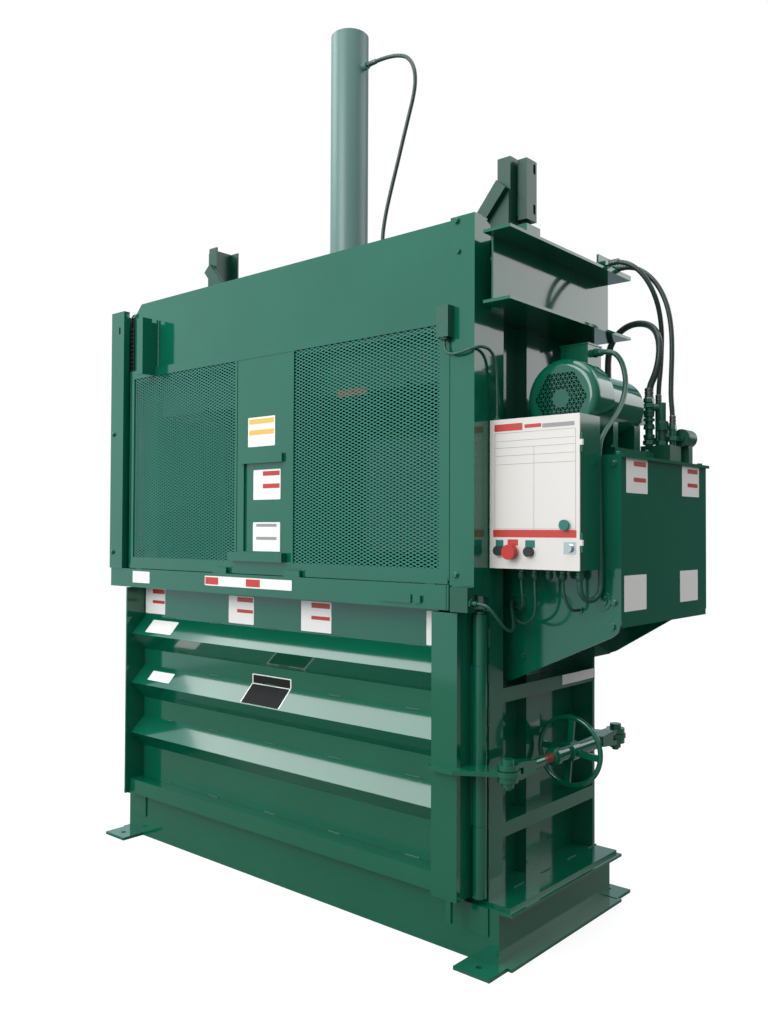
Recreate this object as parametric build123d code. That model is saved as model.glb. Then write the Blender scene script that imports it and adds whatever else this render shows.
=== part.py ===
from build123d import *
import math
import os

# Vertical downstroke recycling baler. Millimetres, +X to the right seen from the front,
# +Y to the back, +Z up. The origin is the centre of the four floor anchor holes, at the underside.

# Base weldment
base_half_width = 1031
base_half_depth = 378
base_height = 181
base_web = 10
base_flange_reach = 50
patch_plate = 6
patch_bottom = 90
patch_inner = 24
patch_outer = 22
stringer_x = 345
clip_width = 140
clip_reach = 105
clip_plate = 12
clip_hole_radius = 11
floor_plate = 10
floor_edge = 20

# Chamber
body_half_width = base_half_width - 61
post_width = 96
front_post_depth = 82
front_post_wall = 6
front_post_y = -347
wall_outer_x = body_half_width - 90
wall_plate = 6
rear_post_y = 358
rear_post_plate = 16
rear_sheet = 6
rib_heights = (375, 826)
rib_tall = 49
rib_plate = 8
body_top = 2137

# Platen guides in the side walls
channel_outer_x = wall_outer_x + 44
channel_wall = 6
channel_half_depth = 46
channel_top = 2520
shoe_gap = 2
slot_gap = 6

# Head
side_beam_web_x = body_half_width + 46
side_beam_web = 7
side_beam_half_flange = 100
side_beam_flange = 10
side_beam_height = 238
side_beam_front = -448
side_beam_web_front = -400
left_beam_front = -345
side_beam_back = 390
cross_beam_y = 120
cross_beam_flange = 70
cross_beam_web = 8
mount_plate_half = 240
mount_plate = 25
hose_fitting = (206, -20)
hose_fitting_height = 45

# Front cover, right column and left gate post
cover_front = -416
cover_sheet = 6
cover_bottom = 2085
cover_top = 2445
cover_chamfer = 50
column_left = body_half_width - post_width
column_front = -438
column_bottom = 1200
column_sheet = 6
gate_post_left = -body_half_width - 130
gate_post_width = 100
gate_post_front = -456
gate_post_lip = 30
gate_post_top = 2419
gate_post_sheet = 6
gate_post_slot = (65, 2331)
slot_radius = 6
slot_half = 11

# Sill under the feed opening
sill_left = gate_post_left + 4
sill_right = column_left - 6
sill_front = -450
sill_bottom = 1143
sill_top = 1226
sill_plate = 8
keeper_spans = ((-344, -260), (83, 172))
keeper_top = 1251

# Lift gate
gate_left = gate_post_left + 118
gate_right = column_left - 7
gate_front = -432
gate_bar = 12
gate_bottom = 1240
gate_top = 2136
gate_rail = 38
gate_stile = 34
gate_panel_left = -224
gate_panel_right = 111
gate_panel_sheet = 3
gate_travel = 800
mesh_thick = 3
mesh_cell = (58, 34)
mesh_web = 14
recess_left = -176
recess_right = 60
recess_bottom = 1318
recess_top = 1672
recess_deep = 9
tongue_reach = 30
hanger_x = gate_left + 196
hanger_front = -501
hanger_top = 2351
hanger_sheet = 6
hanger_flange = 44
hanger_notch = 20
chain_lug = (11, -405)

# Gate chain and its sprockets
chain_x = gate_post_left + 110
chain_y = -386.5
chain_pitch = 19.05
chain_plate = 5
chain_half_tall = 6
chain_side_gap = 0.3
sprocket_teeth = 8
sprocket_width = 18
sprocket_high = 2385
sprocket_low = 1290
sprocket_shaft_radius = 8
ear_gap_x = 2
ear_sheet = 3
counterweight_length = 290
counterweight_gap = 12
counterweight_drop = 45

# Chamber door
door_left = -body_half_width
door_right = body_half_width - 152
door_sheet = 6
door_gap = 0.3
door_bottom = 200
door_top = 1140
door_end_plate = 8
door_end_reach = 97
rib_bands = ((850, 1003), (626, 777), (405, 542))
rib_reach = 70
rib_leg = 8
door_foot_top = 263
door_foot_reach = 72

# Hinges
hinge_tube_radius = 24
hinge_pin_radius = 12
running_gap = 0.05
hinge_seams = (438, 963)
hinge_bottom = 204
hinge_head = 8
sill_clearance = 4
seam_gap = 1

# Latch bar and its turnbuckle
latch_left = door_right + 2
latch_size = 105
latch_wall = 8
latch_back = -360
lever_z = 630
lever_plate = 16
lever_front = -497
link_x = latch_left + latch_size + 137
link_front_y = -376
link_back_y = 366
link_pin_radius = 12
link_play = 6
lever_end_radius = 42
ear_radius = 34
ear_plate = 18
ear_gap = 2
screw_radius = 16
shank_radius = 19
barrel_radius = 26
barrel_front = -105
barrel_back = 197
screw_shown = 68
wheel_y = 20
wheel_radius = 119
wheel_rim_radius = 9
wheel_spokes = 4
wheel_lean = 5
spoke_wide = 22
spoke_thick = 10

# Ram
cylinder_radius = 81
cylinder_wall = 11
cylinder_bottom = 2165
total_height = 3540
gland_height = 70
rod_radius = 38
piston_height = 60
stroke = 1150
port_z = 3385
low_port_z = 2505
guide_top = 2772
guide_half_depth = 69
guide_flange = 56
guide_plate = 8
guide_gap = 6
shoe_low = 2541
shoe_slots = (2586, 2735)
shoe_slot_y = 18
brace_front = -100
brace_top = 2650
brace_wide = 52
gusset_low = 2330
platen_half_width = wall_outer_x - 16
platen_front = -335
platen_back = 350
platen_bottom = 1925
platen_height = 210
platen_plate = 16
platen_slots = 5
platen_slot_width = 30

# Power unit
shelf_plate = 8
shelf_front = -200
shelf_outer_x = body_half_width + 399
tank_back = 487
tank_bottom = 1140
tank_top = 1640
tank_sheet = 5
lid_plate = 10
lid_overhang = 8
tank_left = body_half_width + 52
rail_tall = 40
rail_wide = 46
rear_gusset_left = body_half_width
grommet_x = body_half_width + 15
grommet_z = 1160
grommet_radius = 38
grommet_bore = 24
gusset_bolts = ((37, 981), (368, 1103))
gusset_bolt_radius = 11
gusset_port = (335, 1183)
gusset_port_radius = 30
rear_gusset_foot = 919
rear_gusset_low = (344, 1120)
rear_gusset_outer = 394
motor_x = body_half_width + 180
motor_z = 1846
motor_radius = 106
motor_front = -85
motor_back = 215
motor_flange = 10
fan_cover_radius = 134
fan_cover_front = -196
fan_cover_sheet = 3
grille_radius = 99
grille_rows = 6
grille_solid_rows = 2
grille_open = 0.72
motor_shaft_radius = 14
terminal_box = (-84, 21, -50, 45, 1976, 2048)
terminal_neck = (-45, 15, -40, 35)
conduit_nut = (5, 2024)
conduit_nut_radius = 13
conduit_nut_length = 25
pump_radius = 44
pump_neck = 95
pump_length = 90
manifold_tall = 70
stack_place = (body_half_width + 246, 331)
stack_top = 1888
union_place = (body_half_width + 286, 352)
fitting_places = ((body_half_width + 258, 386, 1868), (body_half_width + 320, 370, 1784))
fitting_radius = 12
return_port = (body_half_width + 72, 412)
return_port_height = 40
filter_x = body_half_width + 335
filter_z = 1752
filter_radius = 33

# Control box
box_left = body_half_width + 6
box_right = body_half_width + 338
box_front = -350
box_back = -224
box_bottom = 1283
box_top = 1770
box_sheet = 3
box_door = 4
gland_places = ((76, -280), (127, -280), (180, -280), (231, -280), (303, -302))
gland_drop = 25
gland_radius = 12
top_gland = (16, -335)
top_gland_height = 15
knob_places = ((39, 1341, 11), (89, 1337, 11), (154, 1339, 11), (282, 1424, 11), (296, 1352, 9))
stop_travel = 6
push_travel = 4
box_hinge = (6, -350)
box_hinge_radius = 5
box_hinge_spans = ((1340, 1400), (1650, 1710))

# Limit switches and the hose bracket
gate_switch_box = (-131, -82, -470, 2045, 2150)
gate_switch_gland = (-108, -454)
door_switch_box = (-65, 5, -478, 1142, 1222)
door_switch_gland = (-460, 1172)
switch_gland_radius = 8
bracket_back = 400
bulkheads = ((269, 2412), (338, 2407))
bulkhead_radius = 13
bulkhead_end = 110

# Cord routes, each a list of points from one fitting to the other. Only the cylinder's hose counts X from the
# middle of the machine. The others count it from the body's right side.
cylinder_hose_radius = 8
pressure_hose_radius = 9
cable_radius = 5
cylinder_hose_route = [
    (103, 0, 3385), (165, 0, 3385), (228, -6, 3376), (288, -12, 3360), (339, -16, 3334), (372, -19, 3286),
    (384, -21, 3228), (376, -22, 3166), (352, -22, 3094), (322, -21, 3008), (288, -20, 2906),
    (252, -20, 2800),
    (222, -20, 2700), (206, -20, 2604), (206, -20, 2435)]
pressure_hose_1_route = [
    (110, 269, 2412), (160, 269, 2412), (212, 273, 2388), (252, 287, 2342), (276, 308, 2285),
    (282, 343, 2222), (274, 381, 2152), (268, 392, 2085), (264, 392, 2010), (258, 386, 1934),
    (258, 386, 1868)]
pressure_hose_2_route = [
    (110, 338, 2407), (165, 338, 2407), (220, 341, 2380), (266, 345, 2332), (298, 349, 2272),
    (316, 353, 2205), (323, 357, 2135), (322, 361, 2055), (317, 365, 1975), (314, 368, 1900),
    (320, 370, 1836), (320, 370, 1784)]
return_hose_route = [
    (72, 412, 1690), (72, 412, 1765), (58, 412, 1848), (44, 412, 1930), (38, 412, 2010),
    (38.5, 412, 2085), (50, 412, 2136), (82, 412, 2177), (130, 408, 2200), (182, 401, 2200),
    (236, 376, 2177), (274, 346, 2136), (288, 332, 2085), (285, 329, 2032), (270, 330, 1982),
    (246, 331, 1936), (246, 331, 1888)]
return_hose_radius = 12.5
motor_conduit_route = [
    (226, 5, 2024), (262, 5, 2024), (290, 14, 1996), (304, 18, 1950), (313, 8, 1900), (319, -22, 1852),
    (323, -64, 1808), (324, -114, 1768), (324, -166, 1730), (326, -205, 1688), (328, -213, 1630),
    (330, -212, 1530), (332, -212, 1410), (334, -212, 1320), (335, -212, 1262), (335, -212.5, 1221),
    (331, -225, 1199), (325, -245, 1187), (319, -268, 1187), (313, -289, 1199), (309, -302, 1221),
    (309, -302, 1258)]
conduit_radius = 9
gate_switch_cable_route = [
    (-108, -454, 2034), (-108, -454, 2010), (-96, -455, 1993), (-70, -456, 1985), (-36, -456, 1988),
    (-4, -453, 1996), (16, -436, 2003), (21, -408, 2005), (21, -378, 2001), (20, -353, 1984),
    (20, -340, 1950), (22, -335, 1895), (22, -335, 1785)]
door_switch_cable_route = [
    (30, -460, 1172), (54, -460, 1172), (76, -453, 1158), (89, -436, 1130), (93, -408, 1102),
    (90, -372, 1083), (80, -334, 1078), (64, -298, 1086), (44, -270, 1106), (28, -254, 1136),
    (12, -234, 1158), (4, -216, 1168), (4, -198, 1168)]
control_cable_1_route = [
    (82, -280, 1258), (82, -280, 1222), (84, -276, 1188), (79, -266, 1160), (64, -252, 1144),
    (44, -236, 1142), (28, -218, 1150), (28, -198, 1150)]
control_cable_2_route = [
    (133, -280, 1258), (133, -280, 1214), (135, -278, 1172), (128, -272, 1134), (108, -264, 1108),
    (79, -255, 1096), (48, -251, 1103), (26, -247, 1120),
    (15, -234, 1137), (11, -217, 1146), (11, -198, 1146)]
control_cable_3_route = [
    (237, -280, 1258), (237, -280, 1222), (241, -274, 1188), (248, -262, 1162), (253, -246, 1150),
    (254, -226, 1150), (254, -206, 1150)]
gusset_gland = (254, 1150)


def block(x0, x1, y0, y1, z0, z1):
    """A box between two values on each axis."""
    centre = ((x0 + x1) / 2, (y0 + y1) / 2, (z0 + z1) / 2)
    return Pos(*centre) * Box(x1 - x0, y1 - y0, z1 - z0)


def post(x, y, radius, z0, z1):
    """A round bar standing on end."""
    return Pos(x, y, (z0 + z1) / 2) * Cylinder(radius, z1 - z0)


def bar_y(x, z, radius, y0, y1):
    """A round bar that lies along Y."""
    return Pos(x, (y0 + y1) / 2, z) * Rot(90, 0, 0) * Cylinder(radius, y1 - y0)


def bar_x(y, z, radius, x0, x1):
    """A round bar that lies along X."""
    return Pos((x0 + x1) / 2, y, z) * Rot(0, 90, 0) * Cylinder(radius, x1 - x0)


def prism_x(points, x0, x1):
    """An outline in Y and Z, drawn from x0 to x1."""
    face = make_face(Polyline(*[(x0, y, z) for y, z in points], close=True))
    return extrude(face, amount=x1 - x0, dir=(1, 0, 0))


def prism_y(points, y0, y1):
    """An outline in X and Z, drawn from y0 to y1."""
    face = make_face(Polyline(*[(x, y0, z) for x, z in points], close=True))
    return extrude(face, amount=y1 - y0, dir=(0, 1, 0))


def prism_z(points, z0, z1):
    """An outline in X and Y, drawn from z0 to z1."""
    face = make_face(Polyline(*[(x, y, z0) for x, y in points], close=True))
    return extrude(face, amount=z1 - z0, dir=(0, 0, 1))


def rod(start, end, radius):
    """A round bar between two points."""
    length = (Vector(*end) - Vector(*start)).length
    plane = Plane(origin=start, z_dir=Vector(*end) - Vector(*start))
    return plane * Pos(0, 0, length / 2) * Cylinder(radius, length)


def slot_y(x, z, y0, y1):
    """An upright slot with round ends, cut along Y."""
    ends = bar_y(x, z - slot_half, slot_radius, y0, y1) + bar_y(x, z + slot_half, slot_radius, y0, y1)
    return ends + block(x - slot_radius, x + slot_radius, y0, y1, z - slot_half, z + slot_half)


def both_sides(shape):
    """The shape and its mirror image across the middle plane."""
    return [shape, mirror(shape, about=Plane.YZ)]


def save(name, shapes):
    """Writes one sub-part, a solid or a group of separate solids."""
    group = shapes if isinstance(shapes, list) else [shapes]
    solids = [solid for shape in group for solid in shape.solids()]
    whole = solids[0] if len(solids) == 1 else Compound(children=solids)
    export_step(whole, os.path.join("parts", name + ".step"))


def save_cord(name, route, radius, side=body_half_width):
    """Writes a cord: straight runs joined by the largest arcs that its runs allow."""
    points = [Vector(x + side, y, z) for x, y, z in route]
    radii = []
    for before, here, after in zip(points, points[1:], points[2:]):
        turn = math.radians((here - before).get_angle(after - here))
        shorter = min((here - before).length, (after - here).length)
        radii.append(0.45 * shorter / math.tan(turn / 2))
    path = FilletPolyline(*points, radius=radii)
    tube = sweep(Plane(origin=points[0], z_dir=points[1] - points[0]) * Circle(radius), path=path)
    share = tube.volume / (math.pi * radius ** 2 * path.length)
    print(name, "length", round(path.length), "volume share", round(share, 4), "least radius", round(min(radii)),
          [round(size) for size in radii])
    save(name, tube)


floor_top = base_height + floor_plate
front_post_back = front_post_y + front_post_depth
post_inner_x = body_half_width - post_width
rear_sheet_y = rear_post_y + rear_post_plate - rear_sheet
side_beam_top = body_top + side_beam_height
door_front = front_post_y - door_gap - door_sheet
hinge_y = front_post_y - hinge_tube_radius - door_gap
hinge_top = sill_bottom - sill_clearance - hinge_head - seam_gap
latch_top = sill_bottom - sill_clearance - 2
latch_right = latch_left + latch_size
latch_hinge_x = latch_right + hinge_tube_radius + 1
door_hinge_x = door_left - hinge_tube_radius - 1
clip_centre_x = base_half_width - base_flange_reach / 2 - 11
clip_hole_y = base_half_depth + clip_reach * 0.55
slot_bottom = platen_bottom - stroke - 60
mount_top = side_beam_top - side_beam_flange + mount_plate
chain_half_width = sprocket_width / 2 + chain_side_gap + chain_plate
sprocket_pitch_radius = chain_pitch / math.sin(math.pi / sprocket_teeth) / 2
lid_top = tank_top + lid_plate


# Base frame: front and back plates, two outward channels, stringers and four anchor clips
def base_frame():
    w, d, h = base_half_width, base_half_depth, base_height
    frame = block(-w, w, -d, -d + base_web, 0, h) + block(-w, w, d - base_web, d, 0, h)
    for side in (-1, 1):
        edge = side * w
        web = block(*sorted((edge - side * base_web, edge)), -d, d, 0, h)
        reach = sorted((edge - side * base_web, edge + side * base_flange_reach))
        low = block(*reach, -d, d, 0, base_web)
        high = block(*reach, -d, d, h - base_web, h)
        stringer = block(side * stringer_x - base_web / 2, side * stringer_x + base_web / 2, -d, d, 0, h)
        patch_x = sorted((side * (column_left + patch_inner), side * (body_half_width + patch_outer)))
        patch = block(*patch_x, -d - patch_plate, -d, patch_bottom, h)
        frame += web + low + high + stringer + patch
    for side in (-1, 1):
        for end in (-1, 1):
            middle, reach = side * clip_centre_x, clip_width / 2
            x0, x1 = middle - reach, middle + reach
            y0, y1 = sorted((end * (d - base_web), end * (d + clip_reach)))
            clip = block(x0, x1, y0, y1, 0, clip_plate)
            hole = post(side * clip_centre_x, end * clip_hole_y, clip_hole_radius, -1, clip_plate + 1)
            frame = frame + clip - hole
    return frame


def chamber_floor():
    edge = base_half_width + base_flange_reach - floor_edge
    return block(-edge, edge, -base_half_depth + floor_edge, base_half_depth - 2, base_height, floor_top)


# Chamber shell
def corner_posts():
    x0, x1 = post_inner_x, body_half_width
    outside = block(x0, x1, front_post_y, front_post_back, floor_top, body_top)
    wall = front_post_wall
    inside = block(x0 + wall, x1 - wall, front_post_y + wall, front_post_back - wall, floor_top - 1, body_top + 1)
    y0, y1 = rear_post_y, rear_post_y + rear_post_plate
    rear = block(wall_outer_x, body_half_width, y0, y1, floor_top, body_top)
    return both_sides(outside - inside) + both_sides(rear)


def wall_sheets():
    x0 = wall_outer_x - wall_plate
    slot = channel_half_depth - channel_wall
    sheet = block(x0, wall_outer_x, front_post_back, rear_sheet_y, floor_top, body_top)
    slot_cut = block(x0 - 1, wall_outer_x + 1, -slot, slot, slot_bottom, body_top + 1)
    x = wall_outer_x
    rear = block(-x, x, rear_sheet_y, rear_sheet_y + rear_sheet, floor_top, body_top)
    return both_sides(sheet - slot_cut) + [rear]


def guide_channels():
    d, wall = channel_half_depth, channel_wall
    outside = block(wall_outer_x, channel_outer_x, -d, d, floor_top, channel_top)
    inside = block(wall_outer_x - 1, channel_outer_x - wall, -d + wall, d - wall, floor_top - 1, channel_top + 1)
    return both_sides(outside - inside)


def side_ribs():
    ribs = []
    for low in rib_heights:
        top = low + rib_tall
        leg = block(body_half_width - rib_plate, body_half_width, front_post_back, rear_post_y, low, top)
        shelf = block(wall_outer_x, body_half_width, front_post_back, rear_post_y, top - rib_plate, top)
        cut = block(0, channel_outer_x, -channel_half_depth, channel_half_depth, low - 1, top + 1)
        ribs += both_sides(leg + shelf - cut)
    return ribs


# Head frame that carries the ram
def top_beams():
    """Wide-flange side beams. The inner flanges are notched for the guide channels and the column."""
    x, half, flange = side_beam_web_x, side_beam_half_flange, side_beam_flange
    z0, z1 = body_top, side_beam_top
    inner = x - side_beam_web / 2
    beams = []
    for side, y0 in ((1, side_beam_front), (-1, left_beam_front)):
        beam = block(inner, inner + side_beam_web, max(y0, side_beam_web_front), side_beam_back, z0, z1)
        for low in (z0, z1 - flange):
            beam += block(wall_outer_x, x + half, y0, side_beam_back, low, low + flange)
        d = channel_half_depth + 2
        beam -= block(wall_outer_x - 1, channel_outer_x + 2, -d, d, z0 - 1, z1 + 1)
        beam -= block(wall_outer_x - 1, inner, side_beam_front - 1, front_post_y + 2, z0 - 1, z1 + 1)
        beams.append(beam if side > 0 else mirror(beam, about=Plane.YZ))
    return beams


def head_beams():
    reach = side_beam_web_x - side_beam_web / 2
    z0, z1 = body_top + side_beam_flange, side_beam_top - side_beam_flange
    pieces = []
    for end in (-1, 1):
        web_far = cross_beam_y + cross_beam_web
        web = block(-reach, reach, *sorted((end * cross_beam_y, end * web_far)), z0, z1)
        flange_y = sorted((end * cross_beam_y, end * (cross_beam_y + cross_beam_flange)))
        low = block(-reach, reach, *flange_y, z0, z0 + cross_beam_web)
        high = block(-reach, reach, *flange_y, z1 - cross_beam_web, z1)
        pieces.append(web + low + high)
    half = mount_plate_half
    plate = block(-half, half, -half, half, z1, mount_top)
    plate -= post(0, 0, cylinder_radius + 1, z1 - 1, mount_top + 1)
    pieces.append(plate + post(*hose_fitting, fitting_radius, mount_top, mount_top + hose_fitting_height))
    return pieces


# Front of the upper body
def upper_cover():
    left, right = -body_half_width, body_half_width - 4
    y0, y1 = cover_front, cover_front + cover_sheet
    c = cover_chamfer
    outline = [(left, cover_bottom), (right, cover_bottom), (right, cover_top),
               (left + c, cover_top), (left, cover_top - c)]
    sheet = prism_y(outline, y0, y1)
    top_lip = block(left + c, right, y0, y0 + 60, cover_top - cover_sheet, cover_top)
    lip_back = front_post_y - gate_post_sheet
    side_lip = block(left, left + cover_sheet, y0, lip_back, cover_bottom, cover_top - c)
    low_lip = block(left, right, y0, lip_back, cover_bottom, cover_bottom + cover_sheet)
    return sheet + top_lip + side_lip + low_lip


def right_column():
    x0, x1 = column_left, body_half_width + 2
    y0, t = column_front, column_sheet
    front = block(x0, x1, y0, y0 + t, column_bottom, cover_top)
    side_shape = [(y0, column_bottom), (front_post_y, column_bottom - 17), (front_post_y, cover_top - 22),
                  (y0 + 40, cover_top), (y0, cover_top)]
    side = prism_x(side_shape, x1 - t, x1)
    bolt = bar_y(column_left + 32, 2328, 9, y0 - 7, y0)
    return front + side + bolt


def gate_post():
    x0, x1 = gate_post_left, gate_post_left + gate_post_width
    y0, y1 = gate_post_front, front_post_y
    t = gate_post_sheet
    shape = [(x0, y0), (x1, y0), (x1, y0 + gate_post_lip), (x1 - t, y0 + gate_post_lip), (x1 - t, y0 + t),
             (x0 + t, y0 + t), (x0 + t, y1 - t), (-post_inner_x, y1 - t), (-post_inner_x, y1), (x0, y1)]
    body = prism_z(shape, sill_top, gate_post_top)
    near = chain_half_width + ear_gap_x
    for z in (sprocket_high, sprocket_low):
        for side in (-1, 1):
            ear_x = sorted((chain_x + side * near, chain_x + side * (near + ear_sheet)))
            body += block(*ear_x, chain_y - 16, y1 - t, z - 20, z + 20)
        body -= bar_x(chain_y, z, sprocket_shaft_radius + running_gap, chain_x - near - 9, chain_x + near + 9)
    slot_x, slot_z = gate_post_left + gate_post_slot[0], gate_post_slot[1]
    return body - slot_y(slot_x, slot_z, y0 - 1, y0 + t + 1)


def sill():
    t = sill_plate
    channel = block(sill_left, sill_right, sill_front, front_post_y, sill_bottom, sill_top)
    y0, y1 = sill_front + t, front_post_y + 1
    channel -= block(sill_left - 1, sill_right + 1, y0, y1, sill_bottom + t, sill_top - t)
    back_right = body_half_width + 2 - column_sheet - 2
    back = block(-body_half_width, back_right, front_post_y - 2 * t, front_post_y, sill_bottom, sill_top)
    keepers = [block(x0, x1, sill_front, sill_front + 10, sill_top, keeper_top) for x0, x1 in keeper_spans]
    body = channel + back
    for keeper in keepers:
        body += keeper
    for x in (gate_left + 60, gate_right - 100):
        body += block(x, x + 40, gate_front, gate_front + gate_bar, sill_top, gate_bottom - door_gap)
    return body


# Lift gate
def gate_frame():
    y0, y1 = gate_front, gate_front + gate_bar
    outside = block(gate_left, gate_right, y0, y1, gate_bottom, gate_top)
    z0, z1 = gate_bottom + gate_rail, gate_top - gate_rail
    left_hole = block(gate_left + gate_stile, gate_panel_left, y0 - 1, y1 + 1, z0, z1)
    middle_hole = block(gate_panel_left, gate_panel_right, y0 - 1, y1 + 1, z0, z1)
    right_hole = block(gate_panel_right, gate_right - gate_stile - 9, y0 - 1, y1 + 1, z0, z1)
    frame = outside - left_hole - middle_hole - right_hole
    for x in (gate_panel_left, gate_panel_right):
        frame += block(x - 6, x + 6, y0, y1, z0, z1)
    tongue = block(gate_right, gate_right + tongue_reach, y1 - 6, y1, gate_bottom, gate_top)
    low = gate_top - gate_rail
    x = hanger_x
    side = block(x - hanger_sheet, x, hanger_front, y1, low, hanger_top)
    side -= block(x - hanger_sheet - 1, x + 1, y0 - hanger_notch, y0 + 4, hanger_top - 16, hanger_top + 1)
    flange = block(x - hanger_flange, x, hanger_front, hanger_front + hanger_sheet, low, hanger_top)
    lug_reach, lug_back = chain_lug
    lug_left = chain_x + chain_half_width + chain_side_gap
    lug = block(lug_left, gate_left + lug_reach, y0, lug_back, low, gate_top)
    return frame + tongue + side + flange + lug


def gate_mesh():
    panels = []
    y0 = gate_front + (gate_bar - mesh_thick) / 2
    z0, z1 = gate_bottom + gate_rail, gate_top - gate_rail
    left_span = (gate_left + gate_stile, gate_panel_left - 6)
    right_span = (gate_panel_right + 6, gate_right - gate_stile - 9)
    spans = (left_span, right_span)
    for x0, x1 in spans:
        sheet = block(x0, x1, y0, y0 + mesh_thick, z0, z1)
        wide, tall = (x1 - x0) / 8, (z1 - z0) / 13
        cell = []
        for column in range(8):
            for row in range(13):
                cx, cz = x0 + (column + 0.5) * wide, z0 + (row + 0.5) * tall
                a, b = wide / 2 - mesh_web / 2, tall / 2 - mesh_web / 2
                diamond = [(cx - a, cz), (cx, cz - b), (cx + a, cz), (cx, cz + b)]
                cell.append(prism_y(diamond, y0 - 1, y0 + mesh_thick + 1))
        panels.append(sheet - Compound(children=cell))
    return panels


def gate_panel():
    x0, x1 = gate_panel_left + 6, gate_panel_right - 6
    y0, y1 = gate_front + 2, gate_front + 2 + gate_panel_sheet
    z0, z1 = gate_bottom + gate_rail, gate_top - gate_rail
    t = gate_panel_sheet
    sheet = block(x0, x1, y0, y1, z0, z1)
    hole = block(recess_left, recess_right, y0 - 1, y1 + 1, recess_bottom, recess_top)
    pocket = block(recess_left - t, recess_right + t, y0, y1 + recess_deep, recess_bottom - t, recess_top + t)
    pocket -= block(recess_left, recess_right, y0 - 1, y1 + recess_deep - t, recess_bottom, recess_top)
    bar = block(-240, 80, gate_front - 26, gate_front, 1280, 1316)
    bar_lip = block(-190, 62, gate_front - 10, gate_front + 2, recess_top, recess_top + 34)
    return (sheet - hole) + pocket, bar, bar_lip


# Gate chain
def sprocket(z):
    root = sprocket_pitch_radius - chain_pitch * 0.32
    tip = sprocket_pitch_radius + 3
    points = []
    for tooth in range(sprocket_teeth):
        for share, radius in ((-0.32, root), (-0.12, tip), (0.12, tip), (0.32, root)):
            angle = 2 * math.pi * (tooth + 0.5 + share) / sprocket_teeth
            points.append((chain_y + radius * math.cos(angle), z + radius * math.sin(angle)))
    half = sprocket_width / 2
    reach = chain_half_width + ear_gap_x + ear_sheet + 0.5
    wheel = prism_x(points, chain_x - half, chain_x + half)
    return wheel + bar_x(chain_y, z, sprocket_shaft_radius, chain_x - reach, chain_x + reach)


def gate_chain():
    side = chain_half_width
    body = None
    for edge in (-1, 1):
        x0, x1 = sorted((chain_x + edge * side, chain_x + edge * (side - chain_plate)))
        outer = sprocket_pitch_radius + chain_half_tall
        inner = sprocket_pitch_radius - chain_half_tall
        band = stadium(outer, x0, x1) - stadium(inner, x0 - 1, x1 + 1)
        body = band if body is None else Compound(children=[body, band])
    solids = list(body.solids())
    whole = solids[0]
    for solid in solids[1:]:
        whole = whole + solid
    rungs = int((sprocket_high - sprocket_low) / chain_pitch)
    for index in range(2, rungs - 1):
        z = sprocket_low + index * chain_pitch
        for y in (chain_y - sprocket_pitch_radius, chain_y + sprocket_pitch_radius):
            whole += block(chain_x - side + 1, chain_x + side - 1, y - 4, y + 4, z - 4, z + 4)
    return whole


def stadium(radius, x0, x1):
    middle = block(x0, x1, chain_y - radius, chain_y + radius, sprocket_low, sprocket_high)
    low = bar_x(chain_y, sprocket_low, radius, x0, x1)
    high = bar_x(chain_y, sprocket_high, radius, x0, x1)
    return middle + low + high


def counterweight():
    x0, x1 = gate_post_left + counterweight_gap, chain_x - chain_half_width - 14
    y0, y1 = gate_post_front + counterweight_gap, front_post_y - gate_post_sheet - 8
    top = sprocket_high - counterweight_drop
    weight = block(x0, x1, y0, y1, top - counterweight_length, top)
    run_y = chain_y + sprocket_pitch_radius
    arm = block(x1 - 1, chain_x - chain_half_width - chain_side_gap, run_y - 5, run_y + 5, top - 50, top - 20)
    return weight + arm


# Chamber door
def door_panel():
    y0, y1 = door_front, door_front + door_sheet
    sheet = block(door_left, door_right, y0, y1, door_bottom, door_top)
    t = door_end_plate
    left = block(door_left, door_left + t, y0 - door_end_reach, y0, door_bottom, door_top)
    right = block(door_right - t, door_right, y0 - rib_reach, y0, door_bottom, door_top)
    z = door_foot_top
    foot_y = y0 - door_foot_reach
    foot = block(door_left, door_right, foot_y, y0, z - t, z)
    lip = block(door_left, door_right, foot_y, foot_y + t, door_bottom, z)
    z0, z1 = hinge_seams[0] + seam_gap, hinge_seams[1] - seam_gap
    knuckle = post(door_hinge_x, hinge_y, hinge_tube_radius, z0, z1)
    leaf = block(door_hinge_x, door_left + t, hinge_y - 14, hinge_y - 2, hinge_seams[0] + seam_gap,
                 hinge_seams[1] - seam_gap)
    bore = post(door_hinge_x, hinge_y, hinge_pin_radius + running_gap, hinge_bottom, hinge_top)
    return sheet + left + right + foot + lip + knuckle + leaf - bore


def door_ribs():
    ribs = []
    y0 = door_front
    for low, high in rib_bands:
        middle = (low + high) / 2
        apex = y0 - rib_reach
        half = (high - low) / 2
        t = rib_leg * math.hypot(rib_reach, half) / rib_reach
        s = rib_leg * math.hypot(rib_reach, half) / half
        shape = [(y0, high), (apex, middle), (y0, low), (y0, low + t), (apex + s, middle), (y0, high - t)]
        ribs.append(prism_x(shape, door_left + door_end_plate, door_right - door_end_plate))
    return ribs


def hinge_tubes():
    """The frame's two hinge tubes on each front corner, with the leaves that weld them to it."""
    parts = []
    for z0, z1 in ((hinge_bottom, hinge_seams[0]), (hinge_seams[1], hinge_top)):
        for x, toward in ((door_hinge_x, -1), (latch_hinge_x, 1)):
            tube = post(x, hinge_y, hinge_tube_radius, z0, z1)
            if toward > 0:
                leaf = block(x - 12, x + 12, hinge_y, front_post_y, z0, z1)
            else:
                leaf = block(x, -body_half_width, hinge_y + 8, front_post_y + 50, z0, z1)
            parts.append(tube + leaf - post(x, hinge_y, hinge_pin_radius + running_gap, z0 - 1, z1 + 1))
    return parts


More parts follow.
